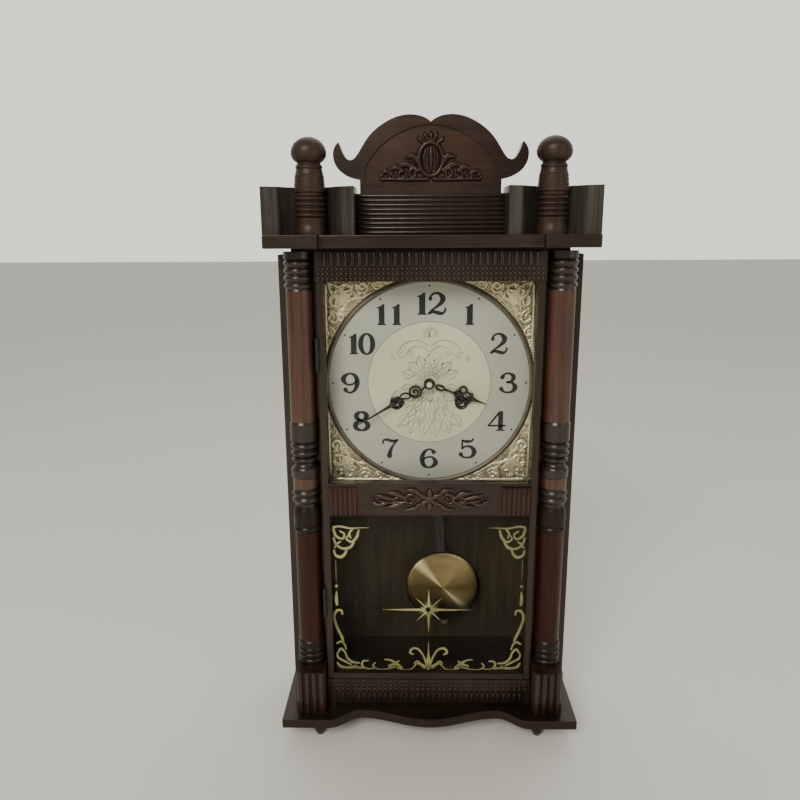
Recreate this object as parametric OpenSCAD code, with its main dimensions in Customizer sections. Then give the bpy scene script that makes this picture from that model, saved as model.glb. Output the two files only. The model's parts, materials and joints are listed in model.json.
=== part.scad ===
// Pendulum wall clock with a glazed door between turned half-columns, an arched crest,
// and a spring-driven going and striking movement. Millimetres.
// Front faces -Y, +Z is up, and the origin is on the ground under the middle of the clock.

/* [Case] */
// Width of the case box, outside its side panels
case_w = 272; // [268:1:276]
// Distance from the middle of the clock back to its back face
back_y = 62.5; // [60:0.5:66]
// Front face of the case frame, measured from the middle of the clock
face_y = -22.5; // [-23:0.5:-22.5]
// Height of the case frame's top above the ground
case_top_z = 473; // [470:1:476]
// Thickness of the side panels and case boards
board_t = 10; // [9:0.5:11]
// Thickness of the back board
back_t = 6; // [5:0.5:7]

/* [Base] */
// Height of the feet
foot_h = 19; // [17:0.5:22]
// Diameter of a foot
foot_d = 12; // [10:0.5:14]
// Thickness of the base plate
base_t = 9; // [8:0.5:10]
// Half width of the base plate
base_half = 143.7; // [142:0.1:146]
// Depth of the scoops in the front edge of the base plate
base_scoop = 15.5; // [8:0.5:17]
// Height of the fluted plinth blocks
plinth_h = 45; // [42:1:46]

/* [Columns] */
// Distance of each column's axis from the middle of the clock
column_x = 117; // [116.5:0.1:117.5]
// Distance of the column axes in front of the middle of the clock
column_y = -29.5; // [-30:0.1:-29]
// Radius of the plain shafts
shaft_r = 12; // [11:0.1:12.2]
// Radius of the rings
ring_r = 13.1; // [12.6:0.1:13.1]

/* [Door] */
// Half width of the door
door_half = 101.5; // [101:0.1:101.5]
// Thickness of the door
door_t = 11.5; // [10:0.5:11.5]
// Height of the door's bottom edge
door_z0 = 54.5; // [54.3:0.1:56]
// Height of the door's top edge
door_z1 = 475.8; // [474:0.1:476]
// Visible width of the door's stiles
stile_w = 6.5; // [6:0.1:8]
// Height of the middle rail's bottom edge
mid_rail_z0 = 230; // [228:0.5:232]
// Height of the middle rail's top edge
mid_rail_z1 = 262; // [261:0.5:263]

/* [Dial] */
// Height of the dial's centre above the ground
dial_z = 352.5; // [350:0.5:355]
// Front plane of the dial
dial_y = -5; // [-6:0.5:-4.5]
// Radius of the chapter disc
dial_r = 95; // [92:0.5:97]
// Length of the minute hand from its axis to its tip
minute_len = 84; // [76:1:88]
// Length of the hour hand from its axis to its tip
hour_len = 58; // [50:1:62]
// Angle of the hour hand at rest, clockwise from twelve
hour_deg = 110; // [0:1:359]
// Angle of the minute hand at rest, clockwise from twelve
minute_deg = 240; // [0:1:359]

/* [Pendulum] */
// Distance of the suspension point above the dial's centre
pivot_dz = 45.5; // [45:0.5:46]
// Length from the suspension point to the middle of the bob
pendulum_len = 279; // [270:1:285]
// Radius of the bob
bob_r = 39.5; // [34:0.5:42]
// Plane in which the pendulum swings
pendulum_y = 38; // [37:0.5:39]
// Angle at which the pendulum stands, towards the viewer's right
swing_deg = 3.4; // [0:0.1:4]

/* [Movement] */
// Thickness of the movement's plates
plate_t = 1.5; // [1.2:0.1:1.8]
// Front face of the front plate
plate_y = 4; // [4:0.1:4.2]
// Distance between the outer faces of the two plates
plate_gap = 27.5; // [27.3:0.1:27.7]
// Radial clearance of an arbor in its hole
fit = 0.06; // [0.03:0.01:0.09]

/* [Crest] */
// Height of the top of the crest
crest_top_z = 590; // [586:0.5:594]
// Thickness of the crest board
crest_t = 12; // [10:0.5:14]

/* [Hidden] */

wood = [0.20, 0.12, 0.10];
mahogany = [0.40, 0.20, 0.16];
brass = [0.72, 0.58, 0.30];
steel = [0.62, 0.62, 0.64];
silver = [0.74, 0.75, 0.70];
black = [0.08, 0.08, 0.08];

// Case heights and planes
case_half = case_w / 2;
base_z0 = foot_h;
base_z1 = foot_h + base_t;
plinth_z1 = base_z1 + plinth_h;
floor_z = 47;
open_half = 97.5;
open_z = [58, 452];
inner_half = case_half - board_t;
frame_back_y = face_y + board_t;
back_in_y = back_y - back_t;
neck_half = 124.5;
neck_top_z = case_top_z + 6;
cornice_z1 = neck_top_z + 11;
cornice_half = 142;
cornice_y = -60.5;
breakfront_x = 95.5;
breakfront = 10;
gallery_z1 = cornice_z1 + 40;
wing_x = 65;
wing_half = 143.7;
wing_y = -50;
gallery_y = -22;
strip_z0 = 525;
finial_x = 103;
finial_y = -40.5;
hanger_half = 12;
hanger_t = 1.5;
hanger_z0 = 440;
hanger_hole_z = 501;
apron_z1 = 54;
apron_half = 101.7;
plinth_x = [102.2, 130.5];
plinth_y = -53.5;

// Door planes
mid_rail_z = [mid_rail_z0, mid_rail_z1];
door_back_y = face_y - 0.5;
door_y = door_back_y - door_t;
glass_half = door_half - stile_w;
top_rail_z = 450;
bottom_rail_z = door_z0 + 6.5;
glass_t = 2;
glass_y = door_y + 5;
glass_lap = 2.5;
hinge_x = -door_half - 0.3;
hinge_y = door_y - 1.9;
hinge_r = 1.8;
hinge_pin_r = 0.8;
hinge_z = [140, 385];
hinge_len = 30;
knuckle_gap = 0.3;
magnet_x = [open_half + 1, open_half + 5.5];
catch_z = [236, 248];

// Movement planes, front to back
plate_back_y = plate_y + plate_gap;
inner_front_y = plate_y + plate_t;
inner_back_y = plate_back_y - plate_t;
plate_half = 60;
plate_dz = [-52, 58];
gong_x = -11;
gong_z = 302;
gong_y = 49;
hammer_pivot = [-55, 22];
hammer_len = 70;

// Toothed wheels: module and tooth counts
m_great = 0.55;
m_train = 0.5;
m_fine = 0.4;
t_great = 96;
t_second_pinion = 12;
t_second = 90;
t_centre_pinion = 12;
t_centre = 80;
t_third_pinion = 8;
t_third = 80;
t_escape_pinion = 8;
t_escape = 34;
t_cannon = 12;
t_minute = 36;
t_minute_pinion = 10;
t_hour = 40;
t_strike = 72;
t_strike_pinion = 12;
t_fly_pinion = 8;

function centres(m, a, b) = m * (a + b) / 2;
function polar(r, a) = [r * cos(a), r * sin(a)];
// Third corner of a triangle on p and q, at distance a from p and b from q
function apex(p, q, a, b, side) =
    let(d = norm(q - p), u = (q - p) / d, along = (a * a - b * b + d * d) / (2 * d))
    p + along * u + side * sqrt(a * a - along * along) * [-u[1], u[0]];

// Arbor places as [x, z] from the dial's centre
centre_at = [0, 0];
great_at = [31, -19.5];
great_strike_at = [-31, -19.5];
second_at = apex(great_at, centre_at, centres(m_great, t_great, t_second_pinion),
                 centres(m_train, t_second, t_centre_pinion), -1);
anchor_at = [0, pivot_dz];
escape_at = [0, pivot_dz - 18];
third_at = apex(centre_at, escape_at, centres(m_train, t_centre, t_third_pinion),
                centres(m_fine, t_third, t_escape_pinion), 1);
motion_at = polar(centres(m_train, t_cannon, t_minute), 150);
m_hour = 2 * norm(motion_at) / (t_minute_pinion + t_hour);
strike_at = great_strike_at
          + polar(centres(m_great, t_great, t_strike_pinion), 116);
fly_at = strike_at + polar(centres(m_fine, t_strike, t_fly_pinion), 70);

// ---------------------------------------------------------------- shared shapes

module board(x, y, z) {
    translate([x[0], y[0], z[0]]) cube([x[1] - x[0], y[1] - y[0], z[1] - z[0]]);
}

// A board given by half width, centred across the clock
module wide_board(half, y, z) {
    board([-half, half], y, z);
}

module both_sides() {
    children();
    mirror([1, 0, 0]) children();
}

// Row of upright half-round reeds standing proud of a strip
module reed_row(half, pitch, y, z0, z1) {
    n = floor(half / pitch);
    for (i = [-n:n]) translate([i * pitch, y, z0])
        cylinder(r = pitch * 0.38, h = z1 - z0, $fn = 24);
}

// A rod along Y between two planes, at [x, z] from the dial's centre
module arbor(at, r, y0, y1) {
    translate([at[0], y0, dial_z + at[1]])
        rotate([-90, 0, 0]) cylinder(r = r, h = y1 - y0, $fn = 32);
}

// An outline in [x, z] pushed back from y0 to y1
module slab(y0, y1) {
    translate([0, y1, 0]) rotate([90, 0, 0]) linear_extrude(height = y1 - y0) children();
}

// Points of a cubic curve, without its first point
function bez(a, b, c, d, n = 10) =
    [for (i = [1:n]) let(t = i / n, s = 1 - t)
        s * s * s * a + 3 * s * s * t * b + 3 * s * t * t * c + t * t * t * d];

function flip(pts) = [for (i = [len(pts) - 1:-1:0]) [-pts[i][0], pts[i][1]]];

// Turned profiles as [radius, height] points
function bead(z0, z1, r0, r1, n = 8) =
    [for (i = [0:n]) [r0 + (r1 - r0) * sin(180 * i / n), z0 + (z1 - z0) * i / n]];
function sweep(z0, z1, r0, r1, n = 6) =
    [for (i = [0:n]) [r0 + (r1 - r0) * (1 - cos(180 * i / n)) / 2, z0 + (z1 - z0) * i / n]];
function drum(z0, z1, r) = [[r, z0], [r, z1]];

// Gear outline: stub teeth, narrower than half the pitch, with one tooth centred at angle phase
module gear_2d(m, teeth, phase = 0, bore = 0) {
    r = m * teeth / 2;
    pitch = 360 / teeth;
    tip = r + 0.75 * m;
    root = r - 0.95 * m;
    difference() {
        polygon([for (i = [0:teeth - 1]) for (k = [[root, -0.27], [tip, -0.12], [tip, 0.12], [root, 0.27]])
            polar(k[0], phase + pitch * (i + k[1]))]);
        if (bore > 0) circle(r = bore, $fn = 32);
    }
}

// Spoked clock wheel rim, arms and hub around a bore
module wheel_2d(m, teeth, phase, bore, hub, arms = 4) {
    r = m * teeth / 2 - 1.6 * m;
    rim = r - 1.6;
    arm = 1.8;
    difference() {
        gear_2d(m, teeth, phase);
        circle(r = rim, $fn = 64);
    }
    difference() {
        union() {
            circle(r = hub, $fn = 32);
            for (i = [0:arms - 1])
                rotate(i * 360 / arms + 45) translate([0, -arm / 2]) square([rim + 0.4, arm]);
        }
        circle(r = bore, $fn = 32);
    }
}

// Turns a gear outline into a gear between two planes at [x, z]
module at_arbor(at, y0, y1) {
    translate([at[0], y1, dial_z + at[1]])
        rotate([90, 0, 0]) linear_extrude(height = y1 - y0) children();
}

function bearing(p, q) = atan2(q[1] - p[1], q[0] - p[0]);
// Phase that puts a tooth space of the follower on the line to a gear with a tooth there
function mesh_phase(p, q, teeth_p, phase_p, teeth_q) =
    let(to_q = bearing(p, q), k = (to_q - phase_p) * teeth_p / 360, lead = k - floor(k))
    to_q + 180 + (lead + 0.5) * 360 / teeth_q;

// ---------------------------------------------------------------- case

// Room for the hanger plate in the back of the case
module hanger_recess(z0, z1) wide_board(hanger_half + 0.1, [back_y - hanger_t - 0.1, back_y + 1], [z0, z1]);

module back_board() color(wood) difference() {
    board([-inner_half, inner_half], [back_in_y, back_y], [base_z1, case_top_z]);
    hanger_recess(hanger_z0 - 0.1, case_top_z + 1);
}

module side_panels() color(wood) both_sides()
    board([inner_half, case_half], [frame_back_y, back_y], [base_z1, case_top_z]);

module case_top() color(wood) difference() {
    union() {
        wide_board(inner_half, [frame_back_y, back_in_y], [case_top_z - board_t, case_top_z]);
        wide_board(neck_half, [face_y + 1.5, back_y - 0.5], [case_top_z, neck_top_z]);
    }
    hanger_recess(case_top_z - 1, neck_top_z + 1);
}

module case_floor() color(wood)
    wide_board(inner_half, [frame_back_y, back_in_y], [floor_z - board_t, floor_z]);

module face_frame() color(wood) {
    kerf_x = -door_half - 1.7;
    difference() {
        both_sides() board([open_half, case_half], [face_y, frame_back_y], [base_z1, case_top_z]);
        for (z = hinge_z)
            board([kerf_x, kerf_x + 1], [face_y - 1, face_y + 4.5],
                  [z - hinge_len / 2, z + hinge_len / 2]);
        board(magnet_x, [face_y - 1, face_y + 6], catch_z);
    }
    wide_board(open_half, [face_y, frame_back_y], [open_z[1], case_top_z]);
    wide_board(open_half, [face_y, frame_back_y], [base_z1, open_z[0]]);
}

// Front edge of the base plate: straight at the corners, scooped, and bowed out in the middle
function base_edge(x) =
    let(a = abs(x), scoop_x = 68, corner_x = 97, corner = -back_y, low = corner + base_scoop,
        bow = corner + 1.5)
    a < scoop_x ? (bow + low) / 2 + (bow - low) / 2 * cos(180 * a / scoop_x)
    : a < corner_x ? (low + corner) / 2
        + (low - corner) / 2 * cos(180 * (a - scoop_x) / (corner_x - scoop_x))
    : corner;

module base_plate() color(wood) {
    step = 4.85;
    front = [for (x = [-97:step:97.01]) [x, base_edge(x)]];
    translate([0, 0, base_z0]) linear_extrude(height = base_t)
        polygon(concat([[-base_half, back_y], [-base_half, -back_y]], front,
                       [[base_half, -back_y], [base_half, back_y]]));
}

module base_feet() color(wood)
    for (x = [-109, 109], y = [-43.5, 46]) translate([x, y, 0]) rotate_extrude($fn = 48)
        polygon(concat([[0, 0]], sweep(0, 5, foot_d / 2 - 2, foot_d / 2),
                       drum(7, foot_h, foot_d / 2), [[0, foot_h]]));

module plinth_blocks() color(mahogany) {
    reed_r = 3.1;
    reed_gap = 6.9;
    mid = (plinth_x[0] + plinth_x[1]) / 2;
    both_sides() {
        board(plinth_x, [plinth_y + reed_r, face_y], [base_z1, plinth_z1]);
        for (i = [-1.5:1:1.5]) translate([mid + i * reed_gap, plinth_y + reed_r, base_z1])
            cylinder(r = reed_r, h = plinth_h, $fn = 32);
    }
}

// Turned half-column, flat at the back, standing on its plinth block
function column_profile() = concat(
    drum(plinth_z1, plinth_z1 + 2, 12.4), bead(plinth_z1 + 2, 80, 12, ring_r), bead(80.5, 86, 12, ring_r),
    bead(86.5, 92, 12, ring_r), drum(92.5, 98.5, ring_r - 0.2),
    drum(100, 213, shaft_r), bead(214, 219.5, 12, ring_r),
    drum(221, 232.5, ring_r - 0.2), sweep(233.5, 242.5, 12.6, 10.6),
    bead(243, 249.5, 11.4, ring_r), bead(250, 256.5, 11.4, ring_r),
    drum(258.5, 268, shaft_r), sweep(269, 276, 12.8, ring_r), sweep(276, 282.5, ring_r, 9.6),
    bead(283, 289, 10, ring_r - 0.6), bead(289.5, 295.5, 11, ring_r), bead(296, 302.5, 11, ring_r),
    drum(304.4, 320.5, ring_r - 0.1), drum(322.5, 442, shaft_r),
    bead(443.5, 449.5, 11.6, ring_r), bead(450, 456, 11.6, ring_r), bead(456.5, 462.5, 11.6, ring_r),
    bead(463, 469, 11.6, ring_r), drum(470, neck_top_z - 3, ring_r - 0.3));

module half_column() intersection() {
    translate([column_x, column_y, 0]) rotate_extrude($fn = 96)
        polygon(concat([[0, plinth_z1]], column_profile(), [[0, neck_top_z - 3]]));
    board([column_x - 20, column_x + 20], [column_y - 20, face_y], [0, neck_top_z]);
}

module column_left() color(mahogany) mirror([1, 0, 0]) half_column();
module column_right() color(mahogany) half_column();

module apron_moulding() color(wood) {
    front_y = -34.5;
    reed_pitch = 5.4;
    wide_board(apron_half, [front_y, face_y], [base_z1, apron_z1]);
    reed_row(apron_half - reed_pitch, reed_pitch, front_y, base_z1 + 2, base_z1 + 12);
}

// Cornice board with forward breaks above the columns
module cornice() color(wood) difference() {
    wide_board(cornice_half, [cornice_y, back_y], [neck_top_z, cornice_z1]);
    wide_board(breakfront_x, [cornice_y - 1, cornice_y + breakfront], [neck_top_z - 1, cornice_z1 + 1]);
    hanger_recess(neck_top_z - 1, cornice_z1 + 1);
}

// Gallery wing in plan: a wave that passes behind the finial, with shallow flutes along it
function wing_plan() =
    let(hollow = 25, flutes = 6, flute = 1.2, step = 1 / 48)
    concat([[wing_x, gallery_y + 14]],
        [for (i = [0:48]) let(u = i * step)
            [wing_x + u * (wing_half - wing_x),
             wing_y + hollow * pow(sin(180 * u), 2) + flute * (1 - cos(360 * flutes * u)) / 2]],
        [[wing_half, gallery_y + 14]]);

module gallery_wings() color(wood) both_sides()
    translate([0, 0, cornice_z1]) linear_extrude(height = gallery_z1 - cornice_z1) polygon(wing_plan());

module gallery_panel() color(wood) {
    reeds = 9;
    pitch = (strip_z0 - cornice_z1) / reeds;
    wide_board(wing_x, [gallery_y, gallery_y + crest_t], [cornice_z1, strip_z0]);
    for (i = [0:reeds - 1]) translate([-wing_x, gallery_y, cornice_z1 + (i + 0.5) * pitch])
        rotate([0, 90, 0]) cylinder(r = pitch * 0.4, h = 2 * wing_x, $fn = 24);
}

// Right half of the crest's outline, from the bottom edge up over the horn to the middle
function crest_half() =
    let(s = [61.5, 537], w = [84.5, 556.5], t = [79.5, 568], v = [70, 553], a = [48.5, 577.3],
        p = [18, crest_top_z], m = [0, crest_top_z - 6])
    concat([[61.5, strip_z0], s],
        bez(s, [71, 538], [83.5, 543], w), bez(w, [85, 562], [82, 566], t, 6),
        bez(t, [77.5, 563], [75, 553.5], v), bez(v, [63, 552.5], [60, 568], a),
        bez(a, [40, 584.5], [29, crest_top_z], p), bez(p, [9, crest_top_z], [3, crest_top_z - 3], m, 6));

// Sunk field inside the crest's raised rim
function crest_field() = concat([[57, 534], [57, 546]],
    bez([57, 546], [50, 563], [28, 581], [0, 582], 14));

module crest_board() color(mahogany) {
    half = crest_half();
    field = crest_field();
    slab(gallery_y + 2, gallery_y + 2 + crest_t) polygon(concat(half, flip(half)));
    slab(gallery_y, gallery_y + 2) difference() {
        polygon(concat(half, flip(half)));
        polygon(concat(field, flip(field)));
    }
}

// Applied carving: a shell between two leaf scrolls
module crest_carving() color(mahogany) {
    z = 535;
    leaf = concat([[6, z + 1]], bez([6, z + 1], [20, z - 1], [38, z + 1], [46, z + 3]),
                  bez([46, z + 3], [46, z + 10], [38, z + 10], [32, z + 12], 4),
                  bez([32, z + 12], [28, z + 20], [16, z + 26], [8, z + 26], 5));
    slab(gallery_y + 0.2, gallery_y + 2) both_sides() polygon(leaf);
    slab(gallery_y - 1.2, gallery_y + 2) both_sides()
        polygon(concat([[0, z]], bez([0, z], [13, z + 2], [16, z + 24], [9, z + 33]),
                       bez([9, z + 33], [7, z + 38], [4, z + 40], [0, z + 41], 4)));
}

function finial_profile() =
    let(b = cornice_z1, ball_r = 15)
    concat(drum(b, b + 3, 13.2), sweep(b + 3.5, b + 9, 13, 12), sweep(b + 9, b + 14, 12, 12.8),
        bead(b + 14.5, b + 18.5, 11.2, 13.2), bead(b + 19, b + 23, 11.2, 13.2),
        bead(b + 23.5, b + 27.5, 11.2, 13.2), bead(b + 28, b + 32, 11.2, 13.2), drum(b + 33, b + 34.5, 11.8),
        drum(b + 35.5, b + 38.5, 13.4), drum(b + 39.2, b + 42, 13), drum(b + 42.7, b + 45.5, 12.7),
        drum(b + 46.2, b + 49, 12.4), sweep(b + 49.6, b + 54, 11.8, 11), bead(b + 54, b + 57.5, 10.4, 11.4),
        [for (a = [-50:14:90]) [ball_r * cos(a), b + 66.8 + (a < 0 ? 10.3 : 13.2) * sin(a)]]);

module finials() color(wood) for (x = [-finial_x, finial_x])
    translate([x, finial_y, 0]) rotate_extrude($fn = 96)
        polygon(concat([[0, cornice_z1]], finial_profile()));

// Steel hanger let into the back, with its hole above the cornice
module hanger_plate() color(steel) difference() {
    union() {
        wide_board(hanger_half, [back_y - hanger_t, back_y], [hanger_z0, hanger_hole_z - 1]);
        translate([0, back_y, hanger_hole_z - 1]) rotate([90, 0, 0])
            cylinder(r = hanger_half, h = hanger_t, $fn = 64);
    }
    translate([0, back_y + 1, hanger_hole_z]) rotate([90, 0, 0]) cylinder(r = 4, h = 4, $fn = 48);
}

// ---------------------------------------------------------------- dial

module dial_plate() color(brass) {
    half = 104;
    difference() {
        slab(dial_y + 0.8, dial_y + 1.6) translate([-half, dial_z - half]) square([2 * half, 2 * half]);
        arbor(centre_at, 5, dial_y, dial_y + 3);
        for (p = [great_at, great_strike_at]) arbor(p, 6.4, dial_y, dial_y + 3);
    }
    for (x = [-52, 52], z = [-44, 50]) arbor([x, z], 1.5, dial_y + 1.6, plate_y);
}

module chapter_disc() color(silver) difference() {
    arbor(centre_at, dial_r + 0.5, dial_y, dial_y + 0.8);
    arbor(centre_at, 4.6, dial_y - 1, dial_y + 3);
    for (p = [great_at, great_strike_at]) arbor(p, 5.4, dial_y - 1, dial_y + 3);
}

module dial_bezel() color(brass) translate([0, dial_y, dial_z]) rotate([90, 0, 0])
    rotate_extrude($fn = 120) polygon([[dial_r, 0], [dial_r, 0.6], [dial_r + 0.6, 1.6],
                                       [dial_r + 2, 2.2], [dial_r + 3.6, 1.6], [dial_r + 4.4, 0],
                                       [dial_r + 4.4, -0.8], [dial_r + 0.6, -0.8], [dial_r + 0.6, 0]]);

module winding_grommets() color(black) for (p = [great_at, great_strike_at])
    translate([p[0], dial_y, dial_z + p[1]]) rotate([90, 0, 0]) rotate_extrude($fn = 64)
        polygon([[4.4, -0.8], [5.4, -0.8], [5.4, 0], [6.6, 0], [6.4, 0.6], [5.2, 1], [4.4, 0.6]]);

// Pierced serpentine hand pointing up, made from its [half width, distance] points
module hand_2d(length, boss, bore) {
    swell = [for (i = [0:12]) let(t = i / 12)
        [0.9 + 2.6 * pow(sin(180 * min(1, t * 1.15)), 2) * (1 - 0.35 * t),
         boss - 1 + t * (length * 0.62 - boss + 1)]];
    difference() {
        union() {
            circle(r = boss, $fn = 48);
            polygon(concat([for (p = swell) p], [[0.5, length]], flip(concat(swell, [[0.5, length]]))));
            translate([0, length * 0.68]) circle(r = 3.2, $fn = 32);
        }
        circle(r = bore, $fn = 48);
        translate([0, length * 0.68]) circle(r = 1.5, $fn = 24);
        for (t = [0.24, 0.36]) translate([0, length * t]) circle(r = 1.5, $fn = 24);
    }
}

module hand(clockwise, length, boss, bore, y0, y1) translate([0, y1, dial_z])
    rotate([90, 0, 0]) linear_extrude(height = y1 - y0) rotate(-clockwise) hand_2d(length, boss, bore);

module minute_hand() color(black) hand(minute_deg, minute_len, 5, 1.2, -13, -12.2);

module hour_hand() color(black) hand(hour_deg, hour_len, 5.4, 2.65, -10, -9.2);

// ---------------------------------------------------------------- movement

minute_phase = mesh_phase(centre_at, motion_at, t_cannon, 0, t_minute);
minute_pinion_phase = minute_phase;
hour_phase = mesh_phase(motion_at, centre_at, t_minute_pinion, minute_pinion_phase, t_hour);

module cannon_pinion() color(steel) difference() {
    union() {
        at_arbor(centre_at, 0, 3) gear_2d(m_train, t_cannon, 0);
        arbor(centre_at, 2.1, -12.2, 0);
        arbor(centre_at, 1.2, -14.4, -12.2);
        arbor(centre_at, 2.4, -14.6, -13);
    }
    arbor(centre_at, 1 + fit, -12.2, 3.5);
}

module hour_wheel() color(brass) difference() {
    union() {
        at_arbor(centre_at, -2.4, -1.4) gear_2d(m_hour, t_hour, hour_phase);
        arbor(centre_at, 3.4, -9.2, -1.4);
        arbor(centre_at, 2.6, -10.2, -9.2);
    }
    arbor(centre_at, 2.1 + fit, -11, 0);
}

module minute_wheel() color(brass) {
    at_arbor(motion_at, 0.8, 1.8) gear_2d(m_train, t_minute, minute_phase);
    at_arbor(motion_at, -2.6, 0.8) gear_2d(m_hour, t_minute_pinion, minute_pinion_phase);
    arbor(motion_at, 0.8, 1.8, plate_y + plate_t + 0.5);
}

// Every arbor's place and pivot radius in the plates
pivots = [[great_at, 2.6], [great_strike_at, 2.6], [second_at, 0.9], [centre_at, 1], [third_at, 0.8],
          [escape_at, 0.8], [anchor_at, 0.8], [strike_at, 0.9], [fly_at, 0.6], [hammer_pivot, 1]];

module plate(y0, y1) difference() {
    board([-plate_half, plate_half], [y0, y1], [dial_z + plate_dz[0], dial_z + plate_dz[1]]);
    for (p = pivots) arbor(p[0], p[1] + fit, y0 - 1, y1 + 1);
}

module plate_front() color(brass) difference() {
    plate(plate_y, inner_front_y);
    arbor(motion_at, 0.8 + fit, plate_y - 1, inner_front_y + 1);
}

// Back plate with its four riveted pillars and the post that carries the suspension
module plate_back() color(brass) {
    post_z = dial_z + pivot_dz + 6.5;
    plate(inner_back_y, plate_back_y);
    for (x = [-56, 56], z = [plate_dz[0] + 5, plate_dz[1] - 5])
        arbor([x, z], 2.5, inner_front_y, inner_back_y);
    difference() {
        board([-4, 4], [plate_back_y, pendulum_y + 2], [post_z - 2.5, post_z + 4]);
        board([-5, 5], [pendulum_y - 0.5, pendulum_y + 0.5], [post_z - 3, post_z + 2.5]);
    }
}

// Four iron brackets from the corners of the back plate to the back board
module movement_bracket() color(black) both_sides() for (side = [-1, 1]) {
    tip = dial_z + side * 66;
    root = dial_z + side * 48;
    x = [43, 53];
    t = 1.5;
    board(x, [plate_back_y, plate_back_y + t], [min(root, tip), max(root, tip)]);
    board(x, [plate_back_y + t, back_in_y], [tip - t * (1 + side) / 2, tip + t * (1 - side) / 2]);
}

// Flat spiral from radius r0 to r1
module spiral_2d(r0, r1, turns, t) {
    n = turns * 16;
    pts = [for (i = [0:n]) polar(r0 + (r1 - r0) * i / n, i * 360 / 16)];
    inner = [for (i = [n:-1:0]) polar(r0 + (r1 - r0) * i / n - t, i * 360 / 16)];
    polygon(concat(pts, inner));
}

module mainsprings() color(steel) for (p = [great_at, great_strike_at])
    at_arbor(p, 17, 28) spiral_2d(3.9, 21.5, 5, 0.6);

module winding_arbor(at) {
    arbor(at, 2.6, plate_y - 0.4, plate_back_y + 0.5);
    arbor(at, 3, inner_front_y + 0.5, inner_back_y - 0.5);
    translate([at[0] - 2, -8, dial_z + at[1] - 2]) cube([4, plate_y + 8, 4]);
    at_arbor(at, 8.2, 9.4) polygon([for (i = [0:15]) for (k = [[6.2, 0], [7.6, 0.92]])
        polar(k[0], (i + k[1]) * 22.5)]);
}

module winding_arbor_time() color(steel) winding_arbor(great_at);
module winding_arbor_strike() color(steel) winding_arbor(great_strike_at);

// Great wheel, loose on its winding arbor, carrying the click clear of the ratchet
module great_wheel(at, phase) {
    at_arbor(at, 9.9, 11.9) gear_2d(m_great, t_great, phase, 3 + fit);
    translate([at[0], 0, dial_z + at[1]]) rotate([0, 35, 0])
        translate([8.4, 8.4, -3]) cube([2.4, 1.7, 8]);
}

great_phase = 0;
second_pinion_phase = mesh_phase(great_at, second_at, t_great, great_phase, t_second_pinion);
second_phase = second_pinion_phase;
centre_pinion_phase = mesh_phase(second_at, centre_at, t_second, second_phase, t_centre_pinion);
centre_phase = centre_pinion_phase;
third_pinion_phase = mesh_phase(centre_at, third_at, t_centre, centre_phase, t_third_pinion);
third_phase = third_pinion_phase;
escape_pinion_phase = mesh_phase(third_at, escape_at, t_third, third_phase, t_escape_pinion);
strike_pinion_phase = mesh_phase(great_strike_at, strike_at, t_great, 0, t_strike_pinion);
strike_phase = strike_pinion_phase;
fly_phase = mesh_phase(strike_at, fly_at, t_strike, strike_phase, t_fly_pinion);

module great_wheel_time() color(brass) great_wheel(great_at, great_phase);
module great_wheel_strike() color(brass) great_wheel(great_strike_at, 0);

module pivoted_arbor(at, r, pivot) {
    arbor(at, r, inner_front_y + 0.3, inner_back_y - 0.3);
    arbor(at, pivot, plate_y - 0.2, plate_back_y + 0.3);
}

module second_wheel() color(brass) {
    at_arbor(second_at, 9.6, 13.5) gear_2d(m_great, t_second_pinion, second_pinion_phase);
    at_arbor(second_at, 13.5, 14.7) wheel_2d(m_train, t_second, second_phase, 1.2, 4.5);
    pivoted_arbor(second_at, 1.3, 0.9);
}

module centre_wheel() color(brass) {
    at_arbor(centre_at, 6.6, 7.8) wheel_2d(m_train, t_centre, centre_phase, 1.2, 4.5);
    at_arbor(centre_at, 13, 15.6) gear_2d(m_train, t_centre_pinion, centre_pinion_phase);
    arbor(centre_at, 1.5, inner_front_y + 0.3, inner_back_y - 0.3);
    arbor(centre_at, 1, -12, plate_back_y + 0.3);
}

module third_wheel() color(brass) {
    at_arbor(third_at, 6.2, 8.4) gear_2d(m_train, t_third_pinion, third_pinion_phase);
    at_arbor(third_at, 20, 21.2) wheel_2d(m_fine, t_third, third_phase, 0.9, 3.5);
    pivoted_arbor(third_at, 1, 0.8);
}

// Escape wheel with pointed teeth leaning forward
module escape_wheel() color(brass) {
    tip = 10.6;
    root = 8.9;
    at_arbor(escape_at, 25, 26) difference() {
        polygon([for (i = [0:t_escape - 1]) for (k = [[root, 0], [tip, 0.45], [tip, 0.55], [root, 0.75]])
            polar(k[0], (i + k[1]) * 360 / t_escape)]);
        for (a = [0:90:270]) rotate(a) translate([4.8, 0]) circle(r = 2.1, $fn = 32);
    }
    at_arbor(escape_at, 19.4, 22) gear_2d(m_fine, t_escape_pinion, escape_pinion_phase);
    pivoted_arbor(escape_at, 1, 0.8);
}

// Turns its children about the suspension axis, to where the pendulum stands
module swung() translate([0, 0, dial_z + pivot_dz]) rotate([0, -swing_deg, 0])
    translate([0, 0, -dial_z - pivot_dz]) children();

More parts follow.
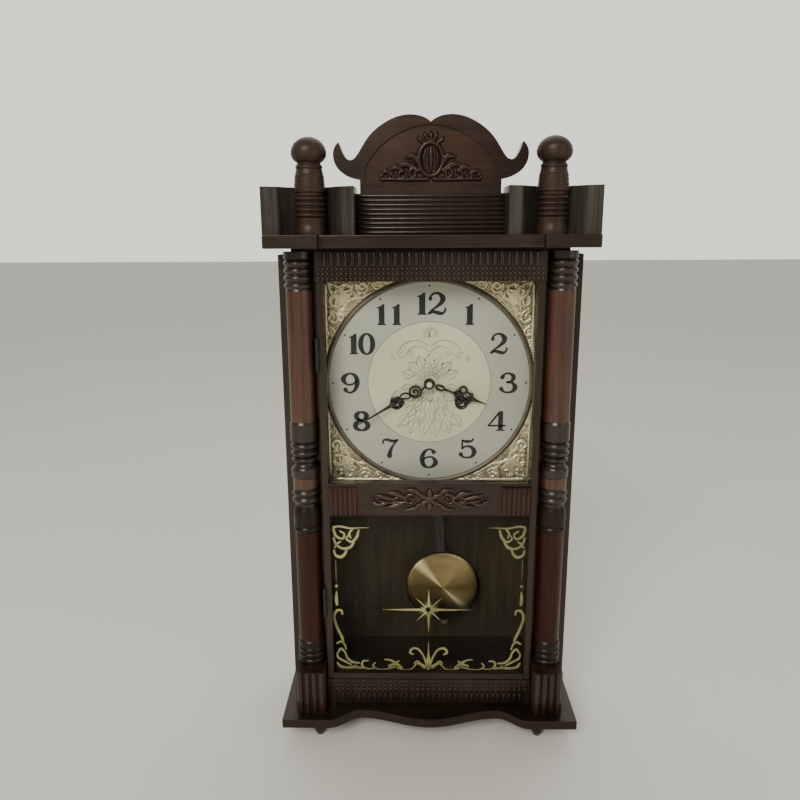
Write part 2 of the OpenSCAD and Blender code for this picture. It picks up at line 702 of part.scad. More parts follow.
// Pallet anchor over the escape wheel, its arbor, and the crutch behind the back plate
module anchor_and_crutch() color(steel) {
    reach = 13;
    pivoted_arbor(anchor_at, 1, 0.8);
    arbor(anchor_at, 0.8, plate_back_y, pendulum_y - 3.2);
    swung() {
        slab(24.6, 26.4) translate([0, dial_z + pivot_dz]) {
            circle(r = 2.4, $fn = 32);
            for (s = [-1, 1]) polygon([[0, 2], [0, -1.6], [s * (reach - 2.4), -5.4],
                [s * (reach - 2.4), -10], [s * (reach - 1.2), -10.5], [s * reach, -3.6]]);
        }
        board([-1.2, 1.2], [pendulum_y - 4.4, pendulum_y - 3.2],
              [dial_z + pivot_dz - 42, dial_z + pivot_dz + 1.6]);
        for (x = [-2.7, 1.5]) board([x, x + 1.2], [pendulum_y - 4.4, pendulum_y + 2.4],
              [dial_z + pivot_dz - 44, dial_z + pivot_dz - 42]);
        board([-2.7, 2.7], [pendulum_y - 4.4, pendulum_y - 3.2],
              [dial_z + pivot_dz - 44, dial_z + pivot_dz - 42]);
    }
}

// Thin suspension spring with its brass chops, hung from the post on the back plate
module suspension_spring() color(steel) {
    z = dial_z + pivot_dz;
    board([-3, 3], [pendulum_y - 0.1, pendulum_y + 0.1], [z - 9, z + 9]);
    board([-3.4, 3.4], [pendulum_y - 0.5, pendulum_y + 0.5], [z + 4, z + 9]);
}

module pendulum_rod() color(brass) swung() {
    z = dial_z + pivot_dz;
    difference() {
        board([-1.2, 1.2], [pendulum_y - 1.4, pendulum_y + 1.4], [z - 60, z - 9.5]);
        board([-2, 2], [pendulum_y - 0.4, pendulum_y + 0.4], [z - 12, z - 9]);
    }
    board([-4.5, 4.5], [pendulum_y - 0.7, pendulum_y + 0.7], [z - pendulum_len + 30, z - 60]);
    translate([0, pendulum_y, z - pendulum_len - bob_r - 8]) cylinder(r = 1.2, h = bob_r + 40, $fn = 32);
}

// Lens-shaped bob, bored up its middle for the rod
module pendulum_bob() color(brass) swung() {
    z = dial_z + pivot_dz - pendulum_len;
    bulge = 4.5;
    rim = 1.2;
    difference() {
        translate([0, pendulum_y, z]) rotate([90, 0, 0]) rotate_extrude($fn = 96)
            polygon(concat([[0, -rim - bulge]],
                [for (i = [1:8]) let(a = i * 90 / 8) [bob_r * sin(a), -rim - bulge * cos(a)]],
                [for (i = [8:-1:0]) let(a = i * 90 / 8) [bob_r * sin(a), rim + bulge * cos(a)]]));
        translate([0, pendulum_y, z - bob_r - 1]) cylinder(r = 1.2 + fit, h = 2 * bob_r + 2, $fn = 32);
        board([-4.8, 4.8], [pendulum_y - 0.9, pendulum_y + 0.9], [z + 29.5, z + bob_r + 1]);
    }
}

module rating_nut() color(brass) swung()
    translate([0, pendulum_y, dial_z + pivot_dz - pendulum_len - bob_r - 5]) difference() {
        rotate_extrude($fn = 48) polygon([[0, 0], [3.6, 0], [4.2, 0.6], [4.2, 3.2], [3.6, 3.8], [0, 3.8]]);
        translate([0, 0, -1]) cylinder(r = 1.2 + fit, h = 7, $fn = 32);
    }

// ---------------------------------------------------------------- striking side

module strike_wheel() color(brass) {
    at_arbor(strike_at, 9.6, 13.5) gear_2d(m_great, t_strike_pinion, strike_pinion_phase);
    at_arbor(strike_at, 14, 15.2) wheel_2d(m_fine, t_strike, strike_phase, 1.1, 3.5);
    pivoted_arbor(strike_at, 1.2, 0.9);
    for (a = [0:45:315]) arbor(strike_at + polar(12.4, a), 0.5, 15.2, 16.8);
}

module fly() color(brass) {
    at_arbor(fly_at, 13.2, 16) gear_2d(m_fine, t_fly_pinion, fly_phase);
    pivoted_arbor(fly_at, 0.9, 0.6);
    translate([fly_at[0], 0, dial_z + fly_at[1]]) rotate([0, 30, 0])
        board([-8, 8], [19, 27], [-0.3, 0.3]);
}

// Hammer on its arbor, with the head hanging beside the gong
module hammer() color(steel) {
    at = hammer_pivot;
    arbor(at, 1.4, inner_front_y + 0.3, inner_back_y - 0.3);
    arbor(at, 1, plate_y - 0.2, gong_y + 2.5);
    translate([at[0], gong_y, dial_z + at[1] - hammer_len + 3])
        cylinder(r = 0.9, h = hammer_len - 3, $fn = 32);
    translate([at[0] - 5, gong_y, dial_z + at[1] - hammer_len]) rotate([0, 90, 0])
        cylinder(r = 4, h = 10, $fn = 48);
}

// Coiled steel gong held at its middle
module gong() color(steel) translate([gong_x, gong_y + 1.2, gong_z]) rotate([90, 0, 0])
    linear_extrude(height = 2.4) spiral_2d(9, 34, 4, 2.2);

module gong_base() color(black) {
    arbor([gong_x, gong_z - dial_z], 4.5, gong_y - 1.2, back_in_y);
    board([gong_x - 1.5, gong_x + 8], [gong_y - 1.2, gong_y + 1.2], [gong_z - 1.5, gong_z + 1.5]);
}

// ---------------------------------------------------------------- door

module door_stiles() color(wood) difference() {
    both_sides() board([glass_half, door_half], [door_y, door_back_y], [door_z0, door_z1]);
    glass_slots();
}

module door_rails() color(wood) difference() {
    for (z = [[door_z0, bottom_rail_z], [top_rail_z, door_z1]])
        wide_board(glass_half, [door_y, door_back_y], z);
    glass_slots();
}

// Reeded moulding on the face of the door's top rail
module frieze_moulding() color(wood) {
    depth = 2.5;
    reed_pitch = 6.2;
    wide_board(door_half, [door_y - depth, door_y], [top_rail_z, door_z1]);
    reed_row(door_half - reed_pitch, reed_pitch, door_y - depth, top_rail_z + 14, door_z1 - 1);
}

module door_rail_middle() color(wood) difference() {
    wide_board(glass_half, [door_y, door_back_y], mid_rail_z);
    glass_slots();
}

// Grooves that hold the two panes
module glass_slots() for (z = [[bottom_rail_z, mid_rail_z[0]], [mid_rail_z[1], top_rail_z]])
    wide_board(glass_half + glass_lap, [glass_y, glass_y + glass_t], [z[0] - glass_lap, z[1] + glass_lap]);

module pane(z) wide_board(glass_half + glass_lap, [glass_y, glass_y + glass_t],
                          [z[0] - glass_lap, z[1] + glass_lap]);

module dial_glass() color([0.8, 0.85, 0.85, 0.3]) pane([mid_rail_z[1], top_rail_z]);
module pendulum_glass() color([0.8, 0.85, 0.85, 0.3]) pane([bottom_rail_z, mid_rail_z[0]]);

// Carved rose between two leaf scrolls on the middle rail
module rail_carving() color(mahogany) {
    z = (mid_rail_z[0] + mid_rail_z[1]) / 2;
    leaf = concat([[4, z - 9]], bez([4, z - 9], [20, z - 12], [44, z - 10], [58, z - 4]),
                  bez([58, z - 4], [60, z + 4], [50, z + 8], [40, z + 8], 4),
                  bez([40, z + 8], [28, z + 13], [14, z + 11], [4, z + 9], 5));
    slab(door_y - 1.6, door_y) both_sides() polygon(leaf);
    slab(door_y - 2.8, door_y) translate([0, z]) circle(r = 9, $fn = 48);
}

module rail_reed_blocks() color(mahogany) {
    reeds = 6;
    reed_r = 1.8;
    block = [68, glass_half];
    pitch = (block[1] - block[0]) / reeds;
    z = [mid_rail_z[0] + 1, mid_rail_z[1] - 3.5];
    both_sides() {
        board(block, [door_y - reed_r, door_y], z);
        for (i = [0:reeds - 1]) translate([block[0] + (i + 0.5) * pitch, door_y - reed_r, z[0]])
            cylinder(r = reed_r, h = z[1] - z[0], $fn = 24);
    }
}

// ---------------------------------------------------------------- hinges and catch

// One knuckle of a hinge, from z0 up to z1
module knuckle(z0, z1, bore) translate([hinge_x, hinge_y, z0]) difference() {
    cylinder(r = hinge_r, h = z1 - z0, $fn = 48);
    if (bore > 0) translate([0, 0, -1]) cylinder(r = bore, h = z1 - z0 + 2, $fn = 32);
}

module case_hinge_leaves() color(brass) for (z = hinge_z) {
    third = hinge_len / 3;
    for (s = [z - hinge_len / 2, z + third / 2]) {
        knuckle(s, s + third, 0);
        board([hinge_x - 1.4, hinge_x - 0.4], [hinge_y, face_y + 4.5], [s, s + third]);
    }
    translate([hinge_x, hinge_y, z - hinge_len / 2 + 1])
        cylinder(r = hinge_pin_r, h = hinge_len - 2, $fn = 32);
}

module door_fittings() color(brass) {
    third = hinge_len / 3;
    for (z = hinge_z) {
        z0 = z - third / 2 + knuckle_gap;
        z1 = z + third / 2 - knuckle_gap;
        knuckle(z0, z1, hinge_pin_r + fit);
        board([hinge_x + 1.4, hinge_x + 4], [door_y - 1, door_y], [z0, z1]);
    }
    board([glass_half + 1, door_half - 0.5], [door_back_y, door_back_y + 0.3], catch_z);
}

module magnet_catch() color(black) board(magnet_x, [face_y - 0.1, face_y + 6], catch_z);

// ---------------------------------------------------------------- drawing

back_board();
side_panels();
case_top();
case_floor();
face_frame();
base_plate();
base_feet();
plinth_blocks();
column_left();
column_right();
frieze_moulding();
apron_moulding();
cornice();
gallery_wings();
gallery_panel();
crest_board();
crest_carving();
finials();
hanger_plate();
dial_plate();
chapter_disc();
dial_bezel();
winding_grommets();
plate_front();
plate_back();
movement_bracket();
mainsprings();
gong();
gong_base();
case_hinge_leaves();
magnet_catch();
door_stiles();
door_rails();
door_rail_middle();
dial_glass();
pendulum_glass();
rail_carving();
rail_reed_blocks();
door_fittings();
minute_hand();
cannon_pinion();
hour_hand();
hour_wheel();
minute_wheel();
winding_arbor_time();
winding_arbor_strike();
great_wheel_time();
great_wheel_strike();
second_wheel();
centre_wheel();
third_wheel();
escape_wheel();
anchor_and_crutch();
suspension_spring();
pendulum_rod();
pendulum_bob();
rating_nut();
strike_wheel();
hammer();
fly();
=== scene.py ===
"""Looks of the pendulum wall clock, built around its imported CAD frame.

Every length below is in millimetres in the frame's own axes, unless a name says otherwise:
X to the viewer's right, Y away from the viewer, Z up.
"""

import json
import math

import bpy
import numpy as np
from mathutils import Matrix, Vector


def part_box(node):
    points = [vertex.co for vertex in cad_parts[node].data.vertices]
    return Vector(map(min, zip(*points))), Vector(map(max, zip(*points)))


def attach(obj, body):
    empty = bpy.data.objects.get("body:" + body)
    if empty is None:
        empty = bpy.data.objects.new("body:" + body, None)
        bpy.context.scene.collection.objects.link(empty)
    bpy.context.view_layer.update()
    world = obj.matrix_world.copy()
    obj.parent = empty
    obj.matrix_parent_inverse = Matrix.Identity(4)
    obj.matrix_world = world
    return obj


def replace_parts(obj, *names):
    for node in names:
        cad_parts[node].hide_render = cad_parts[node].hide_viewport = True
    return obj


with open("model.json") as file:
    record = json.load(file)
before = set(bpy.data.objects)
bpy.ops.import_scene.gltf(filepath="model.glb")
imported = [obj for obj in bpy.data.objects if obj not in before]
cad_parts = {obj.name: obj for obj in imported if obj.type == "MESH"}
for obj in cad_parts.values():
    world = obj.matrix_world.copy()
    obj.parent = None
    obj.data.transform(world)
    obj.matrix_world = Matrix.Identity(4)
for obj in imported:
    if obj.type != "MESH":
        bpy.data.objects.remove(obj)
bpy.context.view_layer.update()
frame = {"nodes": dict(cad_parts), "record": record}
nodes = frame["nodes"]
MM = 0.001


def box_mm(node):
    """Lowest and highest corner of a CAD node, in millimetres."""
    low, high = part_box(node)
    return np.array(low) / MM, np.array(high) / MM


# ------------------------------------------------------------------ places taken from the frame

disc_low, disc_high = box_mm("chapter_disc")
dial_x = 0.0
dial_z = (disc_low[2] + disc_high[2]) / 2
dial_y = disc_low[1]
plate_y = box_mm("dial_plate")[0][1]
bezel_low, bezel_high = box_mm("dial_bezel")
bezel_r = (bezel_high[0] - bezel_low[0]) / 2
frieze_low, frieze_high = box_mm("frieze_moulding")
apron_low, apron_high = box_mm("apron_moulding")
crest_face = box_mm("crest_board")[0][1]
rail_face = box_mm("door_rail_middle")[0][1]
bob_low, bob_high = box_mm("pendulum_bob")
pane_back = box_mm("pendulum_glass")[1][1]

# ------------------------------------------------------------------ places read from the photograph

# Winding holes, from the dial's middle
WINDING_X, WINDING_DROP = 31.0, 19.5
CREAM_R = 58.3
NUMERAL_R = 75.0
HOUR_DOT_R = 91.6
# Clockwise from twelve, as the part's own hands stand
HAND_ANGLES = {"hour_hand": 110.0, "minute_hand": 240.0}
# Half of the square that the dial's corner reliefs fill
CORNER_HALF = 99.0
# Heights between which the columns are plain shafts, and the height that parts the two long ones, below which
# the shafts get painted shade
SHAFTS = [(100, 213), (258.5, 268), (322.5, 442)]
SHAFT_SPLIT = 240
# Middle of the star on the lower pane
STAR = (0.0, 127.5)
# How thick ink and gilt stand on the surface
INK, GILT = 0.12, 0.06


# ------------------------------------------------------------------ curves, as rows of x, z, half width

def curve(points, per=6):
    """Smooth row of points through the given ones; widths and heights follow along."""
    p = np.array(points, float)
    p = np.vstack([2 * p[0] - p[1], p, 2 * p[-1] - p[-2]])
    rows = []
    for a, b, c, d in zip(p, p[1:], p[2:], p[3:]):
        for t in np.arange(per) / per:
            rows.append(0.5 * (2 * b + (c - a) * t + (2 * a - 5 * b + 4 * c - d) * t ** 2
                               + (3 * b - a - 3 * c + d) * t ** 3))
    rows.append(p[-2])
    rows = np.array(rows)
    rows[:, 2] = np.maximum(rows[:, 2], 0.05)
    return rows


def arc(x, z, r0, r1, start, stop, w0, w1, steps=18, tall=1.0):
    """Arc or spiral about x, z, with angles in degrees; tall stretches it upwards."""
    t = np.linspace(0, 1, steps + 1)
    a = np.radians(start + (stop - start) * t)
    r = r0 + (r1 - r0) * t
    return np.column_stack([x + r * np.cos(a), z + tall * r * np.sin(a), w0 + (w1 - w0) * t])


def placed(strokes, x=0.0, z=0.0, scale=1.0, turn=0.0, flip=False):
    """Copies of strokes, mirrored, scaled, turned clockwise by degrees, then moved."""
    a = math.radians(turn)
    out = []
    for s in strokes:
        s = np.array(s, float)
        px = -s[:, 0] if flip else s[:, 0]
        pz = s[:, 1]
        moved = s.copy()
        moved[:, 0] = x + scale * (px * math.cos(a) + pz * math.sin(a))
        moved[:, 1] = z + scale * (pz * math.cos(a) - px * math.sin(a))
        moved[:, 2] = s[:, 2] * scale
        out.append(moved)
    return out


def both_ways(strokes, **place):
    """The strokes and their mirror image."""
    return placed(strokes, **place) + placed(strokes, flip=True, **place)


# ------------------------------------------------------------------ solids

class Solid:
    """Collects the closed parts of one piece."""

    def __init__(self):
        self.verts = []
        self.faces = []

    def add(self, verts, faces):
        """Adds points, and faces that count from the first of them."""
        start = len(self.verts)
        self.verts.extend(tuple(float(c) for c in v) for v in verts)
        self.faces.extend(tuple(start + i for i in f) for f in faces)

    def rings(self, rings, closed_ends=True):
        """Skins a row of equal rings of points."""
        count = len(rings[0])
        verts = [p for ring in rings for p in ring]
        faces = []
        for i in range(len(rings) - 1):
            for k in range(count):
                a, b = i * count + k, i * count + (k + 1) % count
                faces.append((a, b, b + count, a + count))
        if closed_ends:
            faces.append(tuple(range(count))[::-1])
            faces.append(tuple((len(rings) - 1) * count + k for k in range(count)))
        self.add(verts, faces)

    def strip(self, rows, back, front, bevel=0.3):
        """Flat strip along a row of x, z, half width, with bevelled front edges and round ends."""
        rows = np.array(rows, float)
        along = np.gradient(rows[:, :2], axis=0)
        along /= np.maximum(np.linalg.norm(along, axis=1, keepdims=True), 1e-9)
        stations = []
        for k, end in ((0, -1), (len(rows) - 1, 1)):
            for angle in (80, 55, 28):
                w = rows[k, 2]
                shift = end * w * math.sin(math.radians(angle))
                stations.append((k, rows[k, :2] + shift * along[k], w * math.cos(math.radians(angle))))
        middle = [(k, rows[k, :2], rows[k, 2]) for k in range(len(rows))]
        stations = stations[:3] + middle + stations[:2:-1]
        rings = []
        for k, centre, w in stations:
            side = np.array([along[k][1], -along[k][0]])
            cut = min(bevel, 0.6 * w)
            step = -cut if front < back else cut
            profile = [(-w, back), (-w, front - step), (-w + cut, front), (w - cut, front),
                       (w, front - step), (w, back)]
            rings.append([(centre[0] + side[0] * s, y, centre[1] + side[1] * s) for s, y in profile])
        self.rings(rings)

    def strips(self, strokes, back, front, bevel=0.3):
        """One flat strip for each stroke."""
        for s in strokes:
            self.strip(s, back, front, bevel)

    def turned(self, x, z, profile, sides=32):
        """Round form about an axis along Y, from a profile of radius, y."""
        rings = []
        for r, y in profile:
            rings.append([(x + r * math.cos(2 * math.pi * k / sides), y,
                           z + r * math.sin(2 * math.pi * k / sides)) for k in range(sides)])
        self.rings(rings)

    def stud(self, x, z, r, back, front, sides=10, tall=1.0):
        """Rounded stud standing on a plane; tall stretches it upwards."""
        rings = []
        for angle in (0, 30, 60, 85):
            rr = r * math.cos(math.radians(angle))
            y = back + (front - back) * math.sin(math.radians(angle))
            rings.append([(x + rr * math.cos(2 * math.pi * k / sides), y,
                           z + tall * rr * math.sin(2 * math.pi * k / sides)) for k in range(sides)])
        self.rings(rings)

    def relief(self, xs, zs, height, back, keep=0.04):
        """Closed height field over a grid, left open where the height is under keep."""
        nx, nz = len(xs), len(zs)
        tall = height > keep
        cell = tall[:-1, :-1] | tall[1:, :-1] | tall[:-1, 1:] | tall[1:, 1:]
        used = np.zeros((nx, nz), bool)
        for dx in (0, 1):
            for dz in (0, 1):
                used[dx:nx - 1 + dx, dz:nz - 1 + dz] |= cell
        index = -np.ones((nx, nz), int)
        index[used] = np.arange(used.sum())
        count = int(used.sum())
        ix, iz = np.nonzero(used)
        high = np.maximum(height[used], 0)
        front_points = np.column_stack([xs[ix], back - 0.02 - high, zs[iz]])
        back_points = np.column_stack([xs[ix], np.full(count, back), zs[iz]])
        faces = []
        for i, j in zip(*np.nonzero(cell)):
            a, b, c, d = index[i, j], index[i + 1, j], index[i + 1, j + 1], index[i, j + 1]
            faces.append((a, b, c, d))
            faces.append((count + d, count + c, count + b, count + a))
            if j == 0 or not cell[i, j - 1]:
                faces.append((b, a, count + a, count + b))
            if j == nz - 2 or not cell[i, j + 1]:
                faces.append((d, c, count + c, count + d))
            if i == 0 or not cell[i - 1, j]:
                faces.append((a, d, count + d, count + a))
            if i == nx - 2 or not cell[i + 1, j]:
                faces.append((c, b, count + b, count + c))
        self.add(np.vstack([front_points, back_points]), faces)

    def piece(self, name, body, slot, material, smooth=35.0):
        """Makes the Blender object and tells the frame what it rides on."""
        mesh = bpy.data.meshes.new(name)
        mesh.from_pydata([tuple(c * MM for c in v) for v in self.verts], [], self.faces)
        mesh.validate()
        mesh.shade_smooth()
        mesh.set_sharp_from_angle(angle=math.radians(smooth))
        obj = bpy.data.objects.new(name, mesh)
        bpy.context.scene.collection.objects.link(obj)
        mesh.materials.append(material)
        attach(obj, body)
        return obj


def grid(x0, x1, z0, z1, step):
    """Rows of x and z about one step apart, and the grid that they span."""
    xs = np.linspace(x0, x1, int(round((x1 - x0) / step)) + 1)
    zs = np.linspace(z0, z1, int(round((z1 - z0) / step)) + 1)
    return xs, zs, np.meshgrid(xs, zs, indexing="ij")


def carve(mesh_x, mesh_z, strokes, tall, vein=0.0, out=None):
    """Height of rounded strokes over a grid; vein presses a groove along each stroke's middle."""
    if out is None:
        out = np.zeros_like(mesh_x)
    for rows in strokes:
        for a, b in zip(rows[:-1], rows[1:]):
            reach = max(a[2], b[2])
            near = ((mesh_x > min(a[0], b[0]) - reach) & (mesh_x < max(a[0], b[0]) + reach)
                    & (mesh_z > min(a[1], b[1]) - reach) & (mesh_z < max(a[1], b[1]) + reach))
            if not near.any():
                continue
            gx, gz = mesh_x[near], mesh_z[near]
            d = b[:2] - a[:2]
            t = np.clip(((gx - a[0]) * d[0] + (gz - a[1]) * d[1]) / max(float(d @ d), 1e-9), 0, 1)
            w = a[2] + t * (b[2] - a[2])
            off = np.hypot(gx - a[0] - t * d[0], gz - a[1] - t * d[1]) / w
            h = tall * np.minimum(1, 0.35 + 0.3 * w) * np.sqrt(np.clip(1 - off ** 2, 0, 1))
            h *= 1 - vein * np.exp(-(off / 0.22) ** 2)
            out[near] = np.maximum(out[near], h)
    return out


# ------------------------------------------------------------------ materials

class Shader:
    """A Principled material whose extra nodes are added and linked one by one."""

    def __init__(self, name, **constants):
        self.material = bpy.data.materials.new(name)
        self.material.use_nodes = True
        self.tree = self.material.node_tree
        self.surface = self.tree.nodes["Principled BSDF"]
        for key, value in constants.items():
            self.surface.inputs[key.replace("_", " ")].default_value = value

    def node(self, kind, inputs=(), **settings):
        n = self.tree.nodes.new("ShaderNode" + kind)
        for key, value in settings.items():
            setattr(n, key, value)
        for key, value in dict(inputs).items():
            if isinstance(value, bpy.types.NodeSocket):
                self.tree.links.new(value, n.inputs[key])
            else:
                n.inputs[key].default_value = value
        return n

    def place(self, scale=(1, 1, 1), shift=(0, 0, 0)):
        """Coordinates on the object in metres, moved and then stretched."""
        where = self.node("TexCoord").outputs["Object"]
        moved = self.node("VectorMath", {0: where, 1: shift}, operation="SUBTRACT").outputs[0]
        return self.node("VectorMath", {0: moved, 1: scale}, operation="MULTIPLY").outputs[0]

    def noise(self, at, scale=1.0, detail=5.0, rough=0.55, warp=0.0):
        return self.node("TexNoise", {"Vector": at, "Scale": scale, "Detail": detail,
                                      "Roughness": rough, "Distortion": warp}).outputs["Fac"]

    def ramp(self, value, stops):
        n = self.node("ValToRGB", {"Fac": value})
        stops = [(at, c if isinstance(c, tuple) else (c, c, c)) for at, c in stops]
        while len(n.color_ramp.elements) < len(stops):
            n.color_ramp.elements.new(0.5)
        for element, (at, colour) in zip(n.color_ramp.elements, stops):
            element.position = at
            element.color = (*colour, 1)
        return n.outputs["Color"]

    def spread(self, value, low, high, from_low=0.3, from_high=0.7):
        return self.node("MapRange", {"Value": value, "From Min": from_low, "From Max": from_high,
                                      "To Min": low, "To Max": high}).outputs["Result"]

    def mix(self, factor, a, b, blend="MIX"):
        n = self.node("Mix", data_type="RGBA", blend_type=blend)
        for socket, value in ((n.inputs[0], factor), (n.inputs[6], a), (n.inputs[7], b)):
            if isinstance(value, bpy.types.NodeSocket):
                self.tree.links.new(value, socket)
            elif isinstance(value, tuple):
                socket.default_value = (*value, 1)
            else:
                socket.default_value = value
        return n.outputs[2]

    def maths(self, kind, a, b=0.0):
        return self.node("Math", {0: a, 1: b}, operation=kind).outputs[0]

    def bump(self, height, strength, depth_mm):
        n = self.node("Bump", {"Height": height, "Strength": strength, "Distance": depth_mm * MM})
        self.set("Normal", n.outputs[0])

    def set(self, key, socket):
        self.tree.links.new(socket, self.surface.inputs[key])


def wood(name, dark, light, grain="z", rough=(0.27, 0.42), coat=0.25):
    """Lacquered wood with grain along one axis."""
    s = Shader(name, Coat_Weight=coat, Coat_Roughness=0.22, Specular_IOR_Level=0.4,
               Specular_Tint=(1.0, 0.8, 0.66, 1))
    stretch = {"x": (9, 130, 170), "z": (150, 130, 8)}[grain]
    fibres = s.noise(s.place(stretch), 1.0, 7, 0.6, 0.9)
    pores = s.noise(s.place(tuple(4 * c for c in stretch), (0.3, 0.1, 0.2)), 1.0, 3, 0.6)
    patches = s.noise(s.place((14, 14, 9), (0.7, 0.2, 0.5)), 1.0, 3, 0.5)
    colour = s.ramp(fibres, [(0.3, dark), (0.62, light)])
    colour = s.mix(s.spread(pores, 0.0, 0.5, 0.5, 0.72), colour, tuple(0.45 * c for c in dark))
    shade = s.ramp(patches, [(0.3, 0.68), (0.7, 1.2)])
    colour = s.mix(1.0, colour, shade, "MULTIPLY")
    s.set("Base Color", colour)
    s.set("Roughness", s.spread(patches, *rough))
    s.bump(s.maths("SUBTRACT", fibres, pores), 0.28, 0.18)
    return s


def crest_wood():
    """Reddish sunk field inside a darker rim, told apart by depth."""
    s = wood("crest_wood", (0.020, 0.0072, 0.0036), (0.044, 0.0165, 0.0085), grain="x")
    base = s.surface.inputs["Base Color"].links[0].from_socket
    depth = s.node("SeparateXYZ", {0: s.place()}).outputs["Y"]
    rim = s.maths("LESS_THAN", depth, (crest_face + 1) * MM)
    s.set("Base Color", s.mix(rim, base, s.mix(1.0, base, (0.6, 0.72, 0.8), "MULTIPLY")))
    return s.material


def column_wood():
    """Red-brown shafts between nearly black turned rings, told apart by height; the lower shafts are darkened
    and less glossy as painted shade.
    """
    s = wood("column_wood", (0.034, 0.0115, 0.0075), (0.088, 0.032, 0.021), coat=0.5)
    base = s.surface.inputs["Base Color"].links[0].from_socket
    height = s.node("SeparateXYZ", {0: s.place()}).outputs["Z"]
    inside = None
    for low, high in SHAFTS:
        over = s.maths("GREATER_THAN", height, low * MM)
        under = s.maths("LESS_THAN", height, high * MM)
        band = s.maths("MULTIPLY", over, under)
        inside = band if inside is None else s.maths("ADD", inside, band)
    # Painted shade: below the split the shafts are darker and less glossy, as if less light reached them
    painted_shade_below = s.maths("LESS_THAN", height, SHAFT_SPLIT * MM)
    base = s.mix(painted_shade_below, base, s.mix(1.0, base, (0.45, 0.32, 0.24), "MULTIPLY"))
    s.set("Coat Weight", s.spread(painted_shade_below, 0.5, 0.12, 0, 1))
    s.set("Specular IOR Level", s.spread(painted_shade_below, 0.4, 0.2, 0, 1))
    s.set("Base Color", s.mix(inside, (0.012, 0.008, 0.0055), base))
    return s.material


def dial_face():
    """Silvered ring with a cream middle inside a thin printed line, told apart by the radius."""
    s = Shader("dial_silver", Metallic=0.15, Specular_IOR_Level=0.4)
    flat = s.node("VectorMath", {0: s.place(shift=(dial_x * MM, 0, dial_z * MM)), 1: (1, 0, 1)},
                  operation="MULTIPLY").outputs[0]
    radius = s.node("VectorMath", {0: flat}, operation="LENGTH").outputs["Value"]
    clouds = s.noise(s.place((22, 22, 22)), 1.0, 4, 0.5)
    brushed = s.noise(s.place((60, 60, 900)), 1.0, 4, 0.6)
    silver = s.ramp(clouds, [(0.3, (0.48, 0.485, 0.415)), (0.7, (0.55, 0.555, 0.475))])
    cream = s.ramp(clouds, [(0.3, (0.68, 0.675, 0.475)), (0.7, (0.76, 0.755, 0.555))])
    in_cream = s.node("MapRange", {"Value": radius, "From Min": (CREAM_R + 0.3) * MM,
                                   "From Max": (CREAM_R - 0.3) * MM}).outputs["Result"]
    off_line = s.maths("ABSOLUTE", s.maths("SUBTRACT", radius, CREAM_R * MM))
    line = s.maths("LESS_THAN", off_line, 0.35 * MM)
    colour = s.mix(in_cream, silver, cream)
    colour = s.mix(line, colour, (0.30, 0.27, 0.18))
    s.set("Base Color", colour)
    s.set("Roughness", s.spread(brushed, 0.34, 0.5))
    s.bump(brushed, 0.12, 0.05)
    return s.material


def metal(name, dark, light, rough=(0.25, 0.4), scale=(60, 60, 60), metallic=1.0):
    """Metal with soft tarnish and fine scratches."""
    s = Shader(name, Metallic=metallic)
    clouds = s.noise(s.place(scale), 1.0, 5, 0.6)
    scratches = s.noise(s.place((900, 900, 60)), 1.0, 3, 0.6)
    s.set("Base Color", s.ramp(clouds, [(0.3, dark), (0.7, light)]))
    s.set("Roughness", s.spread(clouds, *rough))
    s.bump(scratches, 0.1, 0.05)
    return s.material


def bob_brass():
    """Spun brass: fine turning marks, and a painted highlight: a light streak through the bob's middle and
    darker wedges beside it, coloured by angle and fixed on the bob, stand in for the glint of light on the
    turning.
    """
    s = Shader("bob_brass", Metallic=1.0, Anisotropic=0.85)
    centre = (bob_low + bob_high) / 2
    at = s.place(shift=tuple(c * MM for c in centre))
    flat = s.node("VectorMath", {0: at, 1: (1, 0, 1)}, operation="MULTIPLY").outputs[0]
    radius = s.node("VectorMath", {0: flat}, operation="LENGTH").outputs["Value"]
    rings = s.noise(s.node("CombineXYZ", {"X": radius}).outputs[0], 2600, 3, 0.7)
    parts = s.node("SeparateXYZ", {0: flat}).outputs
    turn = s.maths("DIVIDE", s.maths("ARCTAN2", parts["Z"], parts["X"]), 2 * math.pi)
    turn = s.maths("FRACT", s.maths("ADD", turn, 1.0))
    # Painted highlight and painted shade: colour by angle about the bob's middle, a light streak across it
    # and darker wedges where no glint falls
    painted_unlit_tone, mid, painted_highlight_tone = (0.15, 0.105, 0.042), (0.36, 0.27, 0.125), (0.98, 0.84, 0.52)
    painted_highlight_sectors = s.ramp(turn, [(0.0, painted_unlit_tone), (0.09, (0.22, 0.16, 0.07)), (0.17, (0.44, 0.34, 0.17)),
                            (0.25, mid), (0.335, mid), (0.362, painted_highlight_tone), (0.378, painted_highlight_tone),
                            (0.405, (0.28, 0.20, 0.09)), (0.50, (0.09, 0.063, 0.024)),
                            (0.70, (0.13, 0.095, 0.04)), (0.845, (0.26, 0.19, 0.08)),
                            (0.868, painted_highlight_tone), (0.882, painted_highlight_tone), (0.905, mid), (1.0, painted_unlit_tone)])
    streaks = s.noise(s.node("CombineXYZ", {"X": turn}).outputs[0], 160, 4, 0.7)
    s.set("Base Color", s.mix(1.0, painted_highlight_sectors, s.ramp(streaks, [(0.25, 0.78), (0.75, 1.15)]), "MULTIPLY"))
    s.set("Roughness", s.spread(rings, 0.3, 0.4))
    tangent = s.node("Tangent", direction_type="RADIAL", axis="Y")
    s.set("Tangent", tangent.outputs[0])
    s.bump(rings, 0.15, 0.04)
    return s.material


